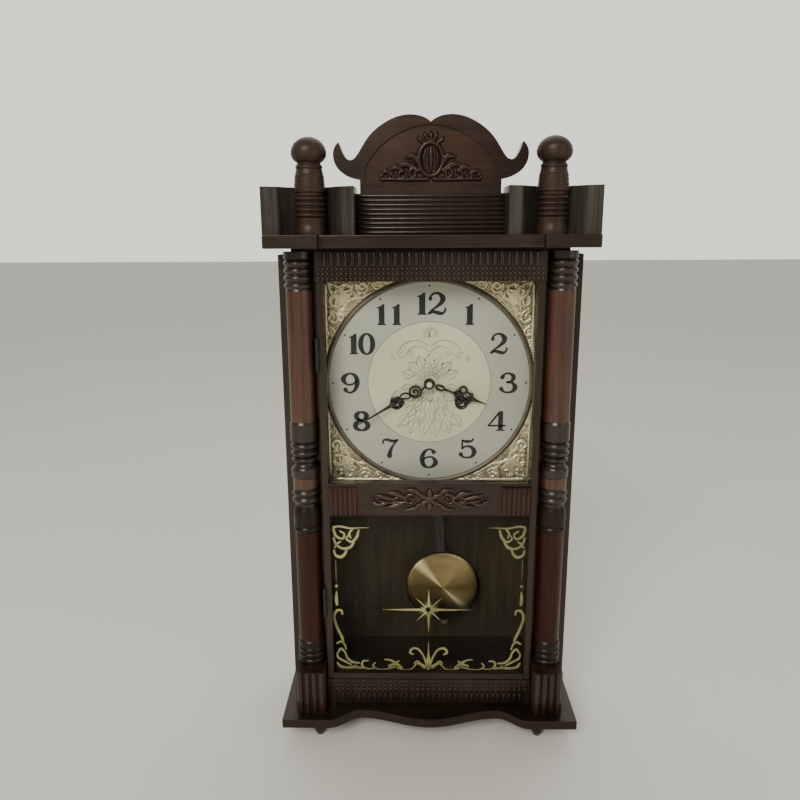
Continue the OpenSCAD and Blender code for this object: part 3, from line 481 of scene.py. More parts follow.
def enamel(name, colour, rough=(0.3, 0.45)):
    """Paint with slightly uneven tone and gloss."""
    s = Shader(name, Specular_IOR_Level=0.5)
    clouds = s.noise(s.place((120, 120, 120)), 1.0, 4, 0.6)
    s.set("Base Color", s.ramp(clouds, [(0.3, tuple(0.75 * c for c in colour)),
                                        (0.7, tuple(1.25 * c for c in colour))]))
    s.set("Roughness", s.spread(clouds, *rough))
    s.bump(clouds, 0.08, 0.05)
    return s.material


def sheet_glass():
    """Clear pane: it lets the light through and adds its reflection and a trace of dust."""
    s = Shader("glass", Roughness=0.04, Specular_IOR_Level=0.5)
    clear = s.node("BsdfTransparent", {"Color": (0.985, 0.99, 0.975, 1)})
    dust = s.noise(s.place((26, 26, 18)), 1.0, 5, 0.6)
    s.set("Base Color", s.ramp(dust, [(0.3, 0.02), (0.8, 0.10)]))
    slant = s.maths("POWER", s.node("LayerWeight").outputs["Facing"], 5)
    veil = s.maths("ADD", s.spread(slant, 0.025, 0.8, 0, 1), s.spread(dust, 0.0, 0.03, 0.4, 0.8))
    both = s.node("MixShader", {0: veil, 1: clear.outputs[0], 2: s.surface.outputs[0]})
    s.tree.links.new(both.outputs[0], s.tree.nodes["Material Output"].inputs["Surface"])
    return s.material


# Colours are a dark and a light tone, mixed by the grain of a wood or the tarnish of a metal.
DARK, BROWN = (0.007, 0.0048, 0.0030), (0.021, 0.0142, 0.0090)
woods = {
    "case_wood": (DARK, BROWN, {}),
    "case_wood_flat": (DARK, BROWN, {"grain": "x"}),
    "plain_board": ((0.024, 0.019, 0.009), (0.048, 0.038, 0.018), {"rough": (0.5, 0.7), "coat": 0.0}),
    "moulding_wood": ((0.007, 0.0045, 0.003), (0.024, 0.014, 0.0095), {}),
    "plinth_wood": ((0.012, 0.006, 0.004), (0.036, 0.018, 0.011), {}),
    # The base plate's wood is darker than the case's as painted shade, for the little light that reaches it
    # low down
    "base_wood_painted_shade": ((0.005, 0.0028, 0.0013), (0.013, 0.0078, 0.004), {"grain": "x", "coat": 0.1}),
    "finial_wood": ((0.012, 0.007, 0.0045), (0.036, 0.020, 0.013), {"rough": (0.42, 0.55), "coat": 0.05}),
    # The gallery wings' wood is lighter and greyer than the case's as painted sheen, for the light their
    # curved fronts catch
    "wing_wood_painted_sheen": ((0.018, 0.015, 0.012), (0.052, 0.045, 0.037), {"rough": (0.3, 0.42), "coat": 0.2}),
    "block_wood": ((0.016, 0.005, 0.003), (0.044, 0.0135, 0.0078), {"coat": 0.35}),
    "carving_wood": ((0.016, 0.006, 0.0032), (0.036, 0.0135, 0.0075),
                     {"grain": "x", "rough": (0.2, 0.32), "coat": 0.7}),
}
metals = {
    "steel": ((0.36, 0.36, 0.37), (0.58, 0.58, 0.60), {}),
    "dark_metal": ((0.012, 0.012, 0.012), (0.03, 0.03, 0.028), {"metallic": 0.4}),
    "embossed_brass": ((0.05, 0.038, 0.02), (0.14, 0.11, 0.06), {"rough": (0.4, 0.55)}),
    "gold_relief": ((0.62, 0.52, 0.31), (0.95, 0.86, 0.62), {"rough": (0.32, 0.5), "metallic": 0.8}),
    "bronze": ((0.12, 0.10, 0.075), (0.20, 0.17, 0.125), {"rough": (0.4, 0.55), "metallic": 0.5}),
    "brass": ((0.42, 0.30, 0.12), (0.68, 0.52, 0.24), {}),
}
paints = {
    "hand_black": ((0.012, 0.013, 0.012), {}),
    "cream_print": ((0.74, 0.73, 0.53), {}),
    # Colour of the painted shadow under the dial's embossing
    "olive_painted_shadow": ((0.33, 0.315, 0.195), {}),
    "gilt": ((0.44, 0.40, 0.185), {"rough": (0.35, 0.5)}),
}
materials = {name: wood(name, dark, light, **more).material for name, (dark, light, more) in woods.items()}
materials |= {name: metal(name, dark, light, **more) for name, (dark, light, more) in metals.items()}
materials |= {name: enamel(name, colour, **more) for name, (colour, more) in paints.items()}
materials |= {"column_wood": column_wood(), "crest_wood": crest_wood(), "dial_silver": dial_face(),
              "bob_brass": bob_brass(), "glass": sheet_glass()}

# A node's look is its slot's, but for these
own_look = {"case_top": "case_wood_flat", "case_floor": "case_wood_flat", "cornice": "case_wood_flat",
            "door_rails": "case_wood_flat", "door_rail_middle": "case_wood_flat",
            "base_plate": "base_wood_painted_shade", "plinth_blocks": "plinth_wood", "rail_reed_blocks": "block_wood",
            "finials": "finial_wood", "gallery_wings": "wing_wood_painted_sheen", "rating_nut": "bronze"}
for part in frame["record"]["subparts"]:
    node = part["node"]
    look = own_look.get(node, part["material_slot"])
    nodes[node].data.materials.clear()
    nodes[node].data.materials.append(materials[look])

# Width of each board's rounded edges
softened = {"base_plate": 1.2, "cornice": 0.8, "crest_board": 0.7, "side_panels": 0.8,
            "face_frame": 0.5, "door_stiles": 0.8, "door_rails": 0.5, "door_rail_middle": 0.6,
            "plinth_blocks": 0.5, "case_top": 0.6, "gallery_panel": 0.3, "apron_moulding": 0.3,
            "frieze_moulding": 0.3, "rail_reed_blocks": 0.25, "back_board": 0.5}
for node, width in softened.items():
    weld = nodes[node].modifiers.new("weld", "WELD")
    weld.merge_threshold = 1e-6
    bevel = nodes[node].modifiers.new("edge", "BEVEL")
    bevel.width = width * MM
    bevel.segments = 2
    bevel.limit_method = "ANGLE"
    bevel.angle_limit = math.radians(40)
    bevel.harden_normals = False


# ------------------------------------------------------------------ numerals

# Each figure is one unit high, with its middle at x = 0. These are half widths of its strokes.
THICK, THIN, BALL = 0.125, 0.043, 0.112


def figure_two():
    return [curve([(-0.29, 0.72, 0.09), (-0.26, 0.86, 0.05), (-0.1, 0.965, THIN), (0.1, 0.95, 0.07),
                   (0.27, 0.76, THICK), (0.2, 0.55, 0.1), (0.0, 0.37, 0.06), (-0.2, 0.22, THIN),
                   (-0.36, 0.06, THIN)]),
            curve([(-0.34, 0.06, 0.05), (-0.18, 0.14, 0.07), (0.05, 0.09, 0.09), (0.24, 0.06, 0.07),
                   (0.36, 0.16, THIN), (0.39, 0.27, THIN)])]


def figure_three():
    return [curve([(-0.29, 0.78, BALL), (-0.2, 0.92, 0.05), (0.0, 0.97, THIN), (0.2, 0.88, 0.09),
                   (0.24, 0.74, 0.11), (0.14, 0.58, 0.06), (-0.06, 0.53, THIN)]),
            curve([(-0.06, 0.53, THIN), (0.18, 0.5, 0.06), (0.33, 0.3, THICK), (0.22, 0.09, 0.08),
                   (0.0, 0.03, THIN), (-0.22, 0.07, 0.05), (-0.33, 0.2, BALL)])]


def figure_four():
    return [np.array([(0.13, 0.95, 0.05), (-0.37, 0.3, THIN)]),
            np.array([(-0.4, 0.27, THIN), (0.42, 0.27, THIN)])]


def figure_five():
    return [curve([(-0.25, 0.9, 0.05), (-0.05, 0.86, 0.08), (0.18, 0.88, 0.06), (0.27, 0.98, THIN)]),
            np.array([(-0.26, 0.93, 0.05), (-0.27, 0.5, THIN)]),
            curve([(-0.27, 0.5, THIN), (-0.08, 0.61, 0.05), (0.18, 0.57, 0.08), (0.33, 0.34, THICK),
                   (0.22, 0.1, 0.08), (0.0, 0.03, THIN), (-0.22, 0.07, 0.05), (-0.33, 0.2, BALL)])]


def figure_six():
    return [curve([(0.24, 0.83, BALL), (0.13, 0.95, 0.05), (-0.05, 0.96, 0.05), (-0.24, 0.8, 0.09),
                   (-0.34, 0.47, 0.12), (-0.24, 0.14, 0.1), (0.0, 0.03, THIN), (0.24, 0.13, 0.09),
                   (0.33, 0.32, THICK), (0.2, 0.54, 0.06), (0.0, 0.58, THIN), (-0.2, 0.5, THIN),
                   (-0.3, 0.36, THIN)])]


def figure_seven():
    return [curve([(-0.36, 0.78, THIN), (-0.32, 0.93, 0.05), (-0.12, 0.95, 0.07), (0.12, 0.88, 0.08),
                   (0.36, 0.95, THIN)]),
            curve([(0.36, 0.94, THIN), (0.16, 0.68, 0.05), (0.02, 0.4, 0.09), (-0.04, 0.13, 0.13)])]


def figure_eight():
    strokes = []
    for z, across, tall in ((0.755, 0.25, 0.2), (0.275, 0.31, 0.235)):
        t = np.radians(np.arange(90, 451, 12))
        width = 0.05 + (THICK - 0.05) * np.abs(np.cos(t)) ** 1.2
        strokes.append(np.column_stack([across * np.cos(t), z + tall * np.sin(t), width]))
    return strokes + [np.array([(-0.12, 0.56, 0.06), (0.12, 0.48, 0.06)])]


def figure_nine():
    return [np.column_stack([-s[:, 0], 1 - s[:, 1], s[:, 2]]) for s in figure_six()]


def figure_nought():
    t = np.radians(np.arange(90, 451, 12))
    width = THIN + (THICK - THIN) * np.abs(np.cos(t)) ** 1.5
    return [np.column_stack([0.29 * np.cos(t), 0.5 + 0.49 * np.sin(t), width])]


figures = {"0": figure_nought, "2": figure_two, "3": figure_three, "4": figure_four, "5": figure_five,
           "6": figure_six, "7": figure_seven, "8": figure_eight, "9": figure_nine}
# Upright bars with flat ends, as outlines
figure_bars = {"1": [(-0.21, 0), (0.21, 0), (0.21, 0.05), (0.14, 0.08), (0.14, 1), (0.04, 1), (-0.06, 0.9),
                     (-0.23, 0.85), (-0.23, 0.8), (-0.14, 0.8), (-0.14, 0.08), (-0.21, 0.05)],
               "4": [(-0.03, 0), (0.4, 0), (0.4, 0.05), (0.31, 0.08), (0.31, 1), (0.17, 1), (0.07, 0.88),
                     (0.07, 0.08), (-0.03, 0.05)]}
# Distance between the two figures of an hour, in their heights
pair_step = {"10": 0.62, "11": 0.72, "12": 0.66}

numerals = Solid()
ink_front = dial_y - INK
for hour in range(1, 13):
    tall = 20.5 if hour == 12 else 19.6
    a = math.radians(30 * hour)
    text = str(hour)
    for k, c in enumerate(text):
        x = dial_x + NUMERAL_R * math.sin(a) + (k - 0.5) * pair_step.get(text, 0) * tall
        z = dial_z + NUMERAL_R * math.cos(a) - tall / 2
        if c in figures:
            numerals.strips(placed(figures[c](), x, z, tall), dial_y, ink_front, 0.03)
        if c in figure_bars:
            numerals.rings([[(x + tall * u, y, z + tall * v) for u, v in figure_bars[c]]
                            for y in (dial_y, ink_front)])
    numerals.stud(dial_x + HOUR_DOT_R * math.sin(a), dial_z + HOUR_DOT_R * math.cos(a), 1.0,
                  dial_y, ink_front)
numerals.piece("dial_numerals", "case", "hand_black", materials["hand_black"])


# ------------------------------------------------------------------ embossed middle of the dial

def petal(r0, r1, width, lean):
    """Pointed petal between two radii, leaning from the vertical, with a rib."""
    rise = r1 - r0
    halves = [curve([(0, r0, 0.3), (side * width, r0 + 0.45 * rise, 0.55), (0, r1, 0.3)]) for side in (-1, 1)]
    return placed(halves + [curve([(0, r0 + 0.2 * rise, 0.2), (0, r1 - 0.2 * rise, 0.3)])], turn=lean)


def fan_of(r0, r1, width, count, step):
    """Petals side by side, step degrees apart."""
    return [s for k in range(count) for s in petal(r0, r1, width, step * (k - (count - 1) / 2))]


leaf = [curve([(0, 0, 0.3), (2.4, 3.5, 0.55), (0, 8, 0.3)]),
        curve([(0, 0, 0.3), (-2.4, 3.5, 0.55), (0, 8, 0.3)]),
        curve([(0, 1, 0.25), (0, 7, 0.25)])]
above = fan_of(8, 19, 2.6, 7, 19) + fan_of(17, 29, 4.4, 7, 22)
above += both_ways([curve([(1, 31, 0.35), (9, 36, 0.6), (18, 34, 0.55), (22, 28, 0.4)]),
                    curve([(2, 37, 0.35), (12, 42, 0.55), (24, 38, 0.5), (31, 29, 0.35)]),
                    arc(26, 27, 3.2, 1.2, 90, -220, 0.45, 0.3), arc(17, 29, 2.6, 1.0, 90, -220, 0.45, 0.3),
                    arc(35, 24, 2.6, 1.0, 90, -220, 0.45, 0.3)])
above += [s for lean in (-52, -26, 0, 26, 52) for s in placed(leaf, 0, 45, 1.1, lean)]
below = (fan_of(8, 19, 3.2, 7, 24) + fan_of(15, 29, 4.6, 8, 22) + fan_of(25, 40, 5.2, 9, 17)
         + fan_of(36, 52, 5.2, 10, 14))
lace = above + [s * (1, -1, 1) for s in below]
winding = [(side * WINDING_X, dial_z - WINDING_DROP) for side in (-1, 1)]
embossing, shade = Solid(), Solid()
shade_front = dial_y - 0.05
for s in lace:
    s = s + (dial_x, dial_z, 0)
    inside = np.hypot(s[:, 0] - dial_x, s[:, 1] - dial_z).max() < CREAM_R - 1.5
    clear = all(np.hypot(s[:, 0] - x, s[:, 1] - z).min() > 7 for x, z in winding)
    if inside and clear:
        embossing.strip(s, dial_y, dial_y - 0.24, 0.15)
        # Painted shadow: a flat olive copy of each line, offset down and to the right, lies under it
        shade.strip(s + (0.4, -0.45, 0.25), dial_y, shade_front, 0.02)
stem = [curve([(0, -30, 0.5), (0, -44, 0.8), (0, -55, 0.5)]),
        curve([(0, -46, 0.4), (5, -50, 0.5), (4, -54, 0.4)]),
        curve([(0, -46, 0.4), (-5, -50, 0.5), (-4, -54, 0.4)])]
embossing.strips(placed(stem, dial_x, dial_z), dial_y, dial_y - 0.22, 0.15)
# Painted shadow of the stem, offset the same way
shade.strips(placed(stem, dial_x + 0.35, dial_z - 0.4), dial_y, shade_front, 0.02)
embossing.piece("dial_embossing", "case", "dial_silver", materials["cream_print"])
shade.piece("dial_embossing_shade", "case", "dial_silver", materials["olive_painted_shadow"])


# ------------------------------------------------------------------ gilt corner reliefs of the dial

def corner_scrolls():
    """Foliage of one corner, from the corner itself towards the middle of each side, as u, v."""
    half = [arc(20, 11, 8.5, 2.0, 150, -330, 1.5, 1.0, steps=40),
            arc(37, 8, 6.5, 1.6, 200, -250, 1.3, 0.9, steps=34),
            arc(51, 6, 4.6, 1.2, 190, -240, 1.1, 0.7, steps=28),
            arc(62, 4.5, 3.2, 1.0, 190, -220, 0.9, 0.6, steps=24),
            curve([(4, 4, 1.6), (9, 16, 1.5), (18, 22, 1.3), (28, 20, 1.1), (33, 14, 0.9)]),
            curve([(28, 19, 1.0), (38, 18, 1.2), (46, 13, 1.0), (56, 10, 0.8), (68, 7, 0.6)]),
            curve([(6, 2.5, 1.2), (26, 2.2, 1.0), (46, 2.2, 0.9), (74, 2.4, 0.6)])]
    for k in range(9):
        u = 10 + 7 * k
        half.append(curve([(u, 4 + 0.3 * k, 0.5), (u + 2.4, 7.5, 1.2), (u + 1.2, 11.5 - 0.6 * k, 0.4)], 4))
    for k in range(6):
        u = 14 + 5 * k
        half.append(curve([(u, 17 - k, 0.5), (u + 1.0, 21 - 0.7 * k, 1.3), (u + 4.0, 24 - 1.6 * k, 0.4)], 4))
    mirrored = [np.column_stack([s[:, 1], s[:, 0], s[:, 2]]) for s in half]
    shell = []
    for lean in range(-60, 61, 20):
        shell += placed([curve([(0, 4, 0.7), (0, 9, 1.5), (0, 13, 0.5)], 4)], 14, 14, 1.0, 45 + lean)
    return half + mirrored + shell + [arc(14, 14, 3, 3, 0, 360, 1.5, 1.5, steps=16)]


u_axis, v_axis, (grid_u, grid_v) = grid(0, 78, 0, 78, 0.5)
foliage = carve(grid_u, grid_v, corner_scrolls(), 1.5, vein=0.25)
stipple = 0.28 * (np.sin(grid_u * 2.3) * np.sin(grid_v * 2.3 + 0.7 * np.sin(grid_u * 0.9)) > 0.45)
foliage = np.maximum(foliage, stipple)
from_centre = np.hypot(CORNER_HALF - grid_u, CORNER_HALF - grid_v)
foliage[from_centre < bezel_r + 1.0] = 0
for sx, sz, name in ((-1, 1, "upper_left"), (1, 1, "upper_right"),
                     (-1, -1, "lower_left"), (1, -1, "lower_right")):
    spandrel = Solid()
    xs = dial_x + sx * (CORNER_HALF - u_axis)
    zs = dial_z + sz * (CORNER_HALF - v_axis)
    heights = foliage
    if sx > 0:
        xs, heights = xs[::-1], heights[::-1, :]
    if sz > 0:
        zs, heights = zs[::-1], heights[:, ::-1]
    spandrel.relief(xs, zs, heights, plate_y)
    spandrel.piece("spandrel_" + name, "case", "embossed_brass", materials["gold_relief"], smooth=60)


# ------------------------------------------------------------------ hands

def minute_shape():
    """Pierced minute hand pointing up, about its axis."""
    ring = (0.4, 15.0)
    return [arc(0, 0, 3.8, 3.8, 0, 360, 1.2, 1.2, steps=28),
            curve([(0, 4.4, 1.5), (-0.4, 7, 1.1), (-1.6, 10, 1.0)]),
            arc(*ring, 5.4, 5.4, 0, 360, 1.05, 1.05, steps=32),
            arc(*ring, 4.2, 1.2, 100, 430, 0.6, 1.4, steps=26),
            curve([(0.6, 20.2, 1.1), (4.0, 23.5, 0.9), (4.6, 28.0, 0.8), (2.2, 31.5, 0.9), (0.6, 36.0, 1.2)]),
            curve([(0.4, 20.2, 1.1), (-1.8, 23.5, 0.8), (0.2, 27.5, 0.9), (2.0, 30.5, 0.8)]),
            arc(-2.2, 30.5, 2.4, 1.1, -40, 270, 0.8, 0.9, steps=18),
            arc(3.6, 36.0, 2.1, 1.0, 200, -60, 0.7, 0.8, steps=16),
            curve([(0.2, 34.0, 1.2), (0.5, 38.5, 2.5), (0.4, 43.0, 1.7), (0.2, 52.0, 1.15), (0.0, 66.0, 0.75),
                   (0.0, 83.6, 0.3)])]


def hour_shape():
    """Pierced hour hand pointing up, about its axis."""
    lobe = [arc(5.3, 32.2, 3.3, 3.3, 200, -160, 1.15, 1.15, steps=26),
            curve([(0.6, 25.5, 1.1), (2.6, 27.6, 1.2), (4.0, 29.6, 1.1)]),
            curve([(5.0, 35.6, 1.0), (4.2, 39.0, 1.1), (1.6, 41.5, 1.2)]),
            arc(3.4, 41.0, 2.0, 1.0, 150, -150, 0.7, 0.8, steps=16)]
    return [arc(0, 0, 4.2, 4.2, 0, 360, 1.2, 1.2, steps=28),
            arc(0, 11.0, 2.2, 2.2, 0, 360, 1.0, 1.0, steps=22, tall=1.9),
            curve([(0, 15.5, 1.2), (0, 20.5, 0.9), (0, 26.0, 1.3)])] + both_ways(lobe) + [
            curve([(0, 26.0, 1.2), (0, 30.0, 2.0), (0, 34.0, 1.0)]),
            curve([(0, 38.5, 1.4), (0, 43.0, 2.4), (0, 48.0, 1.2), (0, 57.6, 0.3)])]


# Each hand's node and body have the same name
for node, shape in (("minute_hand", minute_shape()), ("hour_hand", hour_shape())):
    low, high = box_mm(node)
    hand = Solid()
    hand.strips(placed(shape, dial_x, dial_z, turn=HAND_ANGLES[node]), high[1], low[1], 0.35)
    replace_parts(hand.piece(node + "_pierced", node, "hand_black", materials["hand_black"]), node)

# Radius and y, from the minute hand's front to the tip
nut_profile = [(2.7, -13.02), (2.7, -14.0), (2.3, -14.7), (1.4, -15.1), (0.3, -15.2)]
nut = Solid()
nut.turned(dial_x, dial_z, nut_profile, 24)
nut.piece("hand_nut", "minute_hand", "brass", materials["cream_print"])


# ------------------------------------------------------------------ beads on the mouldings

# Each moulding's reeds are as deep as this part of their pitch; the beads stand on their grooves
REED_DEPTH = 0.38


def bead_rows(name, body, half, zs, y, r, pitch):
    """Rows of half-round beads of radius r standing on a plane."""
    rows = Solid()
    count = int(half / pitch)
    for z in zs:
        for k in range(-count, count + 1):
            rows.stud(k * pitch, z, r, y, y - r * 0.75, sides=8)
    rows.piece(name, body, "moulding_wood", materials["moulding_wood"], smooth=70)


frieze_reed, apron_reed = 6.2, 5.4
bead_rows("frieze_beads", "door", frieze_high[0] - 3, [frieze_low[2] + 2.4 + 4.3 * k for k in range(3)],
          frieze_low[1] + REED_DEPTH * frieze_reed, 1.95, 4.1)
bead_rows("apron_beads", "case", apron_high[0] - 3, [apron_high[2] - 2.6 - 4.2 * k for k in range(3)],
          apron_low[1] + REED_DEPTH * apron_reed, 1.9, apron_reed)


# ------------------------------------------------------------------ carvings

def carving(name, node, body, slot, strokes, veined, extent, step, back, tall):
    """Relief from plain and veined strokes over an extent in x and z, in place of a CAD node."""
    xs, zs, (gx, gz) = grid(*extent, step)
    height = carve(gx, gz, strokes, tall)
    height = carve(gx, gz, veined, tall, vein=0.45, out=height)
    solid = Solid()
    solid.relief(xs, zs, height, back)
    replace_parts(solid.piece(name, body, slot, materials[slot], smooth=60), node)


carve_low, carve_high = box_mm("crest_carving")
base = carve_low[2]
crest_leaves = [curve([(10, 15, 2.2), (15, 21, 3.0), (21, 20, 1.3)]),
                curve([(11, 9, 2.2), (19, 14, 3.0), (26, 13.5, 1.4)]),
                curve([(24, 9, 2.0), (30, 12, 2.6), (35, 9.5, 1.2)]),
                curve([(34, 6, 1.6), (39, 8.5, 2.2), (44, 6, 1.0)])]
crest_plain = [curve([(3, 2, 2.0), (20, 1.8, 1.8), (43, 2.2, 1.6)]),
               arc(15, 6.5, 4.4, 1.4, 80, -230, 2.0, 1.2), arc(25, 5, 3.6, 1.2, 100, -210, 1.8, 1.1),
               arc(33.5, 4.5, 2.9, 1.0, 100, -200, 1.5, 0.9), arc(41.5, 4, 2.6, 0.8, -90, 200, 1.4, 0.8),
               curve([(2.5, 34, 1.4), (4.5, 37.5, 1.8), (5.5, 40, 0.9)]),
               curve([(6, 32, 1.4), (9.5, 34.5, 1.9), (11, 37, 0.9)]),
               curve([(4.6, 10, 0.9), (6.0, 18, 1.5), (4.6, 27, 0.9)])]
oval = [arc(0, 18.5, 10.4, 10.4, 0, 360, 2.2, 2.2, steps=40, tall=1.32),
        curve([(0, 8, 1.2), (0, 18.5, 2.6), (0, 29, 1.2)]),
        curve([(0, 34, 1.6), (0, 38, 2.2), (0, 41, 1.0)])]
carving("crest_foliage", "crest_carving", "case", "crest_wood",
        both_ways(crest_plain, z=base) + placed(oval, z=base), both_ways(crest_leaves, z=base),
        (-47, 47, base, carve_high[2] + 1), 0.4, crest_face + 2, 3.1)

rose_low, rose_high = box_mm("rail_carving")
mid = (rose_low[2] + rose_high[2]) / 2
rail_leaves = [curve([(9, 5, 2.0), (14, 9, 2.6), (22, 10, 1.2)]),
               curve([(10, -5, 2.0), (15, -9, 2.5), (23, -10, 1.2)]),
               curve([(24, 2, 2.0), (31, 6, 3.0), (39, 7, 1.2)]),
               curve([(25, -3, 2.0), (33, -6.5, 2.8), (41, -7, 1.1)]),
               curve([(34, 0.5, 1.8), (42, 2.5, 2.6), (50, 5, 1.0)]),
               curve([(40, -3, 1.6), (47, -5, 2.3), (54, -3.5, 0.9)])]
rail_plain = [arc(18, 0, 5.6, 1.8, 110, -240, 2.2, 1.3), arc(31, -0.5, 2.6, 1.0, 100, -220, 1.6, 1.0),
              curve([(22, -2, 1.6), (34, -3, 1.5), (48, -1, 1.2)]),
              arc(53, 0.2, 3.0, 0.9, -120, 190, 1.3, 0.8)]
rose_petal = [curve([(0, 3, 1.8), (0, 6.5, 3.0), (0, 9.6, 1.7)])]
rose = [s for k in range(6) for s in placed(rose_petal, z=mid, turn=60 * k)]
heart = [arc(0, mid, 1.3, 1.3, 0, 360, 1.8, 1.8, steps=12)]
carving("rail_foliage", "rail_carving", "door", "carving_wood",
        both_ways(rail_plain, z=mid) + heart, both_ways(rail_leaves, z=mid) + rose,
        (-60, 60, mid - 12.5, mid + 12.5), 0.4, rail_face, 3.0)


# ------------------------------------------------------------------ gilt drawing on the lower glass

def ray(length, width):
    """Tapering ray of the star, pointing up."""
    return [np.array([(0, 0, width), (0, length * 0.45, width * 0.6), (0, length, 0.08)])]


# Rays of the star: direction in degrees, length and half width
main_rays = [(0, 22, 1.7), (90, 44, 1.7), (180, 25, 1.7), (270, 46, 1.7)]
side_rays = [(45, 18, 1.4), (135, 17, 1.4), (225, 17, 1.4), (315, 18, 1.4)]
small_rays = [(22, 9, 0.9), (68, 10, 0.9), (112, 10, 0.9), (158, 9, 0.9),
              (202, 9, 0.9), (248, 10, 0.9), (292, 10, 0.9), (338, 9, 0.9)]
gilt = []
for turn, length, width in main_rays + side_rays + small_rays:
    gilt += placed(ray(length, width), *STAR, turn=turn)
border = [curve([(1.5, 66, 1.0), (5, 76, 1.0), (10, 83.5, 1.1), (16, 84.5, 1.2), (18.5, 80, 1.3),
                 (15.5, 78, 0.9)]),
          curve([(1, 64, 1.3), (6, 66, 1.0), (11, 70, 0.9), (14, 68, 0.8)]),
          curve([(4, 62.5, 0.8), (11, 67.5, 0.7), (17, 61.5, 0.7), (24, 60.5, 0.8), (31, 62.5, 1.1)]),
          curve([(27, 63, 1.0), (33, 68, 1.5), (39, 71.5, 0.9), (44, 72, 0.6)]),
          curve([(30, 70.5, 0.8), (34, 67, 1.3), (40, 65, 0.9), (38, 63, 0.6)]),
          curve([(33, 64, 0.8), (43, 61, 0.8), (51, 61, 0.8), (56, 64.5, 0.8), (54, 68, 0.8)]),
          curve([(55, 62, 0.7), (62, 61.5, 0.8), (67, 65, 1.2), (66, 70, 1.0), (61, 70.5, 0.8)]),
          curve([(66, 62, 0.9), (74, 63, 1.4), (82, 62.5, 1.4), (89, 64, 1.5), (92, 68, 1.0)]),
          curve([(70, 68, 0.9), (77, 69, 1.3), (82, 74, 1.2), (84, 80, 1.0), (88, 84, 1.2), (91, 80, 0.9)]),
          curve([(78, 66, 0.9), (85, 70, 1.2), (91, 74, 1.2), (92, 79, 0.9)]),
          curve([(83, 84, 0.9), (84.5, 89, 1.0), (88, 92, 1.2), (92, 90, 0.9)]),
          curve([(85.5, 90, 0.8), (86.5, 96, 1.4), (89, 102, 1.2), (92, 110, 1.2), (94.0, 119, 1.3),
                 (91.5, 126, 1.2), (86.8, 126.5, 1.1), (85.8, 122.5, 0.9)]),
          curve([(91, 133, 1.2), (91.4, 139, 1.6), (91, 147, 0.5)]),
          curve([(91, 158, 0.12), (91, 170, 0.25), (91, 181, 0.12)])]
corner = [curve([(58, 214.5, 0.2), (66, 214.5, 0.5), (76, 214, 0.9), (86, 216, 1.0), (92, 215, 1.3)]),
          curve([(68, 212, 0.9), (70, 205, 1.4), (75, 200, 1.2), (80, 203, 0.9), (78, 207, 0.8)]),
          curve([(73, 199, 1.0), (77, 194, 1.4), (84, 193, 1.2), (90, 197, 1.0), (92.5, 204, 1.0)]),
          curve([(92.5, 213, 1.2), (90, 206, 1.2), (84, 203, 1.0), (82, 208, 0.9), (86, 211, 0.8)]),
          curve([(80, 192, 0.9), (82, 187, 1.3), (86, 184, 1.5), (91, 186, 1.2), (92.5, 191, 0.9)]),
          curve([(74, 213, 0.8), (77, 209, 1.1), (76, 204, 0.8)]),
          curve([(86, 200, 0.8), (89, 198, 1.1), (91.5, 194, 0.8)])]
gilt += both_ways(border + corner)
gilt += [curve([(0, 61, 1.6), (0, 69, 2.2), (0, 80, 0.9), (0, 92, 0.3)])]
drawing = Solid()
drawing.strips(gilt, pane_back, pane_back + GILT, 0.02)
for x, z, r in ((0, 65, 2.4), (-91, 153, 1.5), (91, 153, 1.5), (-74, 64, 1.8), (74, 64, 1.8)):
    drawing.stud(x, z, r, pane_back, pane_back + GILT, sides=16)
drawing.piece("gilt_drawing", "door", "brass", materials["gilt"])


# ------------------------------------------------------------------ floor, lights and camera

def floor_plane(half, colour):
    """Plain floor at the height of the clock's feet."""
    mesh = bpy.data.meshes.new("floor")
    mesh.from_pydata([(-half, -half, 0), (half, -half, 0), (half, half, 0), (-half, half, 0)], [],
                     [(0, 1, 2, 3)])
    obj = bpy.data.objects.new("floor", mesh)
    bpy.context.scene.collection.objects.link(obj)
    s = Shader("floor", Roughness=0.6)
    darker = tuple(0.97 * c for c in colour)
    s.set("Base Color", s.ramp(s.noise(s.place((3, 3, 3))), [(0.3, darker), (0.7, colour)]))
    mesh.materials.append(s.material)


def area_light(name, place, aim, size, watts, colour=(1, 1, 1)):
    """Rectangular light at a place in metres, turned towards a point."""
    data = bpy.data.lights.new(name, "AREA")
    data.shape = "RECTANGLE"
    data.size, data.size_y = size
    data.energy = watts
    data.color = colour
    obj = bpy.data.objects.new(name, data)
    obj.location = place
    obj.rotation_euler = (Vector(aim) - Vector(place)).to_track_quat("-Z", "Y").to_euler()
    bpy.context.scene.collection.objects.link(obj)


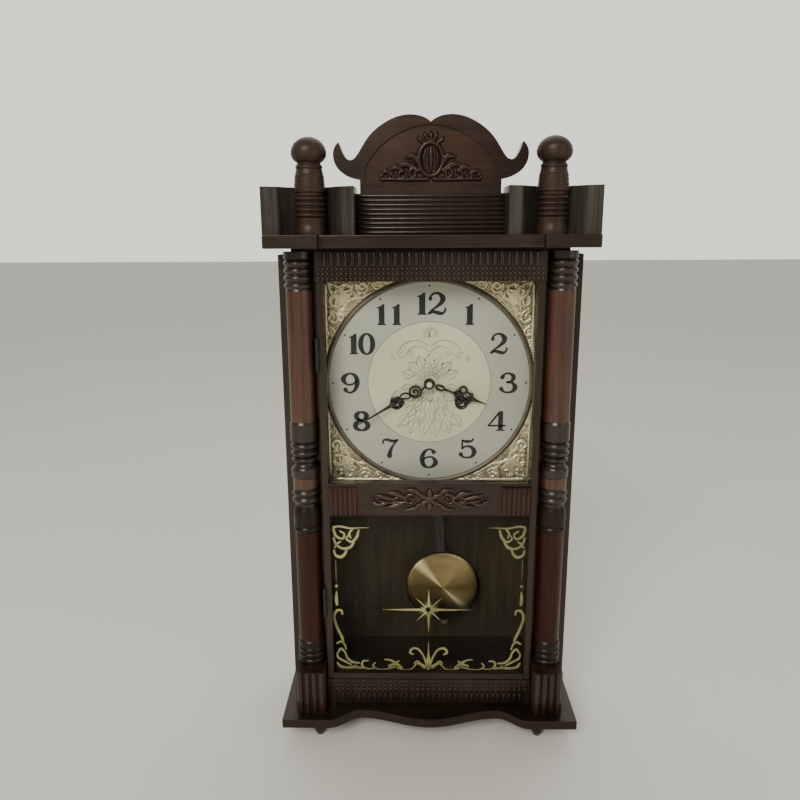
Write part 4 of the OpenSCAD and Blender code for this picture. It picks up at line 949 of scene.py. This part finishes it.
def studio_world(behind_camera, beyond_clock):
    """Sky that brightens from behind the camera to beyond the clock."""
    world = bpy.data.worlds.new("studio")
    world.use_nodes = True
    sky = world.node_tree
    facing = sky.nodes.new("ShaderNodeTexCoord").outputs["Generated"]
    split = sky.nodes.new("ShaderNodeSeparateXYZ")
    sky.links.new(facing, split.inputs[0])
    tone = sky.nodes.new("ShaderNodeValToRGB")
    near, far = tone.color_ramp.elements
    near.position, near.color = 0.0, (*behind_camera, 1)
    far.position, far.color = 0.9, (*beyond_clock, 1)
    sky.links.new(split.outputs["Y"], tone.inputs["Fac"])
    sky.links.new(tone.outputs["Color"], sky.nodes["Background"].inputs["Color"])
    sky.nodes["Background"].inputs["Strength"].default_value = 1.0
    bpy.context.scene.world = world


def photo_camera(place, yaw, pitch, roll, lens):
    """Camera at the photograph's angle; the angles are in radians."""
    forward = Vector((math.sin(yaw) * math.cos(pitch), math.cos(yaw) * math.cos(pitch), -math.sin(pitch)))
    level = Vector((math.cos(yaw), -math.sin(yaw), 0))
    upright = level.cross(forward)
    right = math.cos(roll) * level + math.sin(roll) * upright
    up = math.cos(roll) * upright - math.sin(roll) * level
    data = bpy.data.cameras.new("camera")
    data.lens = lens
    data.sensor_width = 36
    obj = bpy.data.objects.new("camera", data)
    turned = Matrix((right, up, -forward)).transposed().to_4x4()
    obj.matrix_world = Matrix.Translation(place) @ turned
    bpy.context.scene.collection.objects.link(obj)
    bpy.context.scene.camera = obj


floor_plane(12.0, (0.80, 0.775, 0.70))
middle = (0, 0, 0.3)
area_light("key", (-0.75, -2.05, 1.7), middle, (1.1, 1.1), 46, (1.0, 0.99, 0.93))
area_light("fill", (1.7, -1.3, 0.9), middle, (1.4, 1.4), 7, (1.0, 1.0, 0.96))
area_light("top", (0.1, 0.9, 2.0), middle, (1.4, 1.0), 5)
studio_world((0.32, 0.32, 0.30), (1.3, 1.29, 1.17))
photo_camera((-0.01648, -0.67088, 0.49241), yaw=-0.0170, pitch=0.2308, roll=-0.0049, lens=32.2)
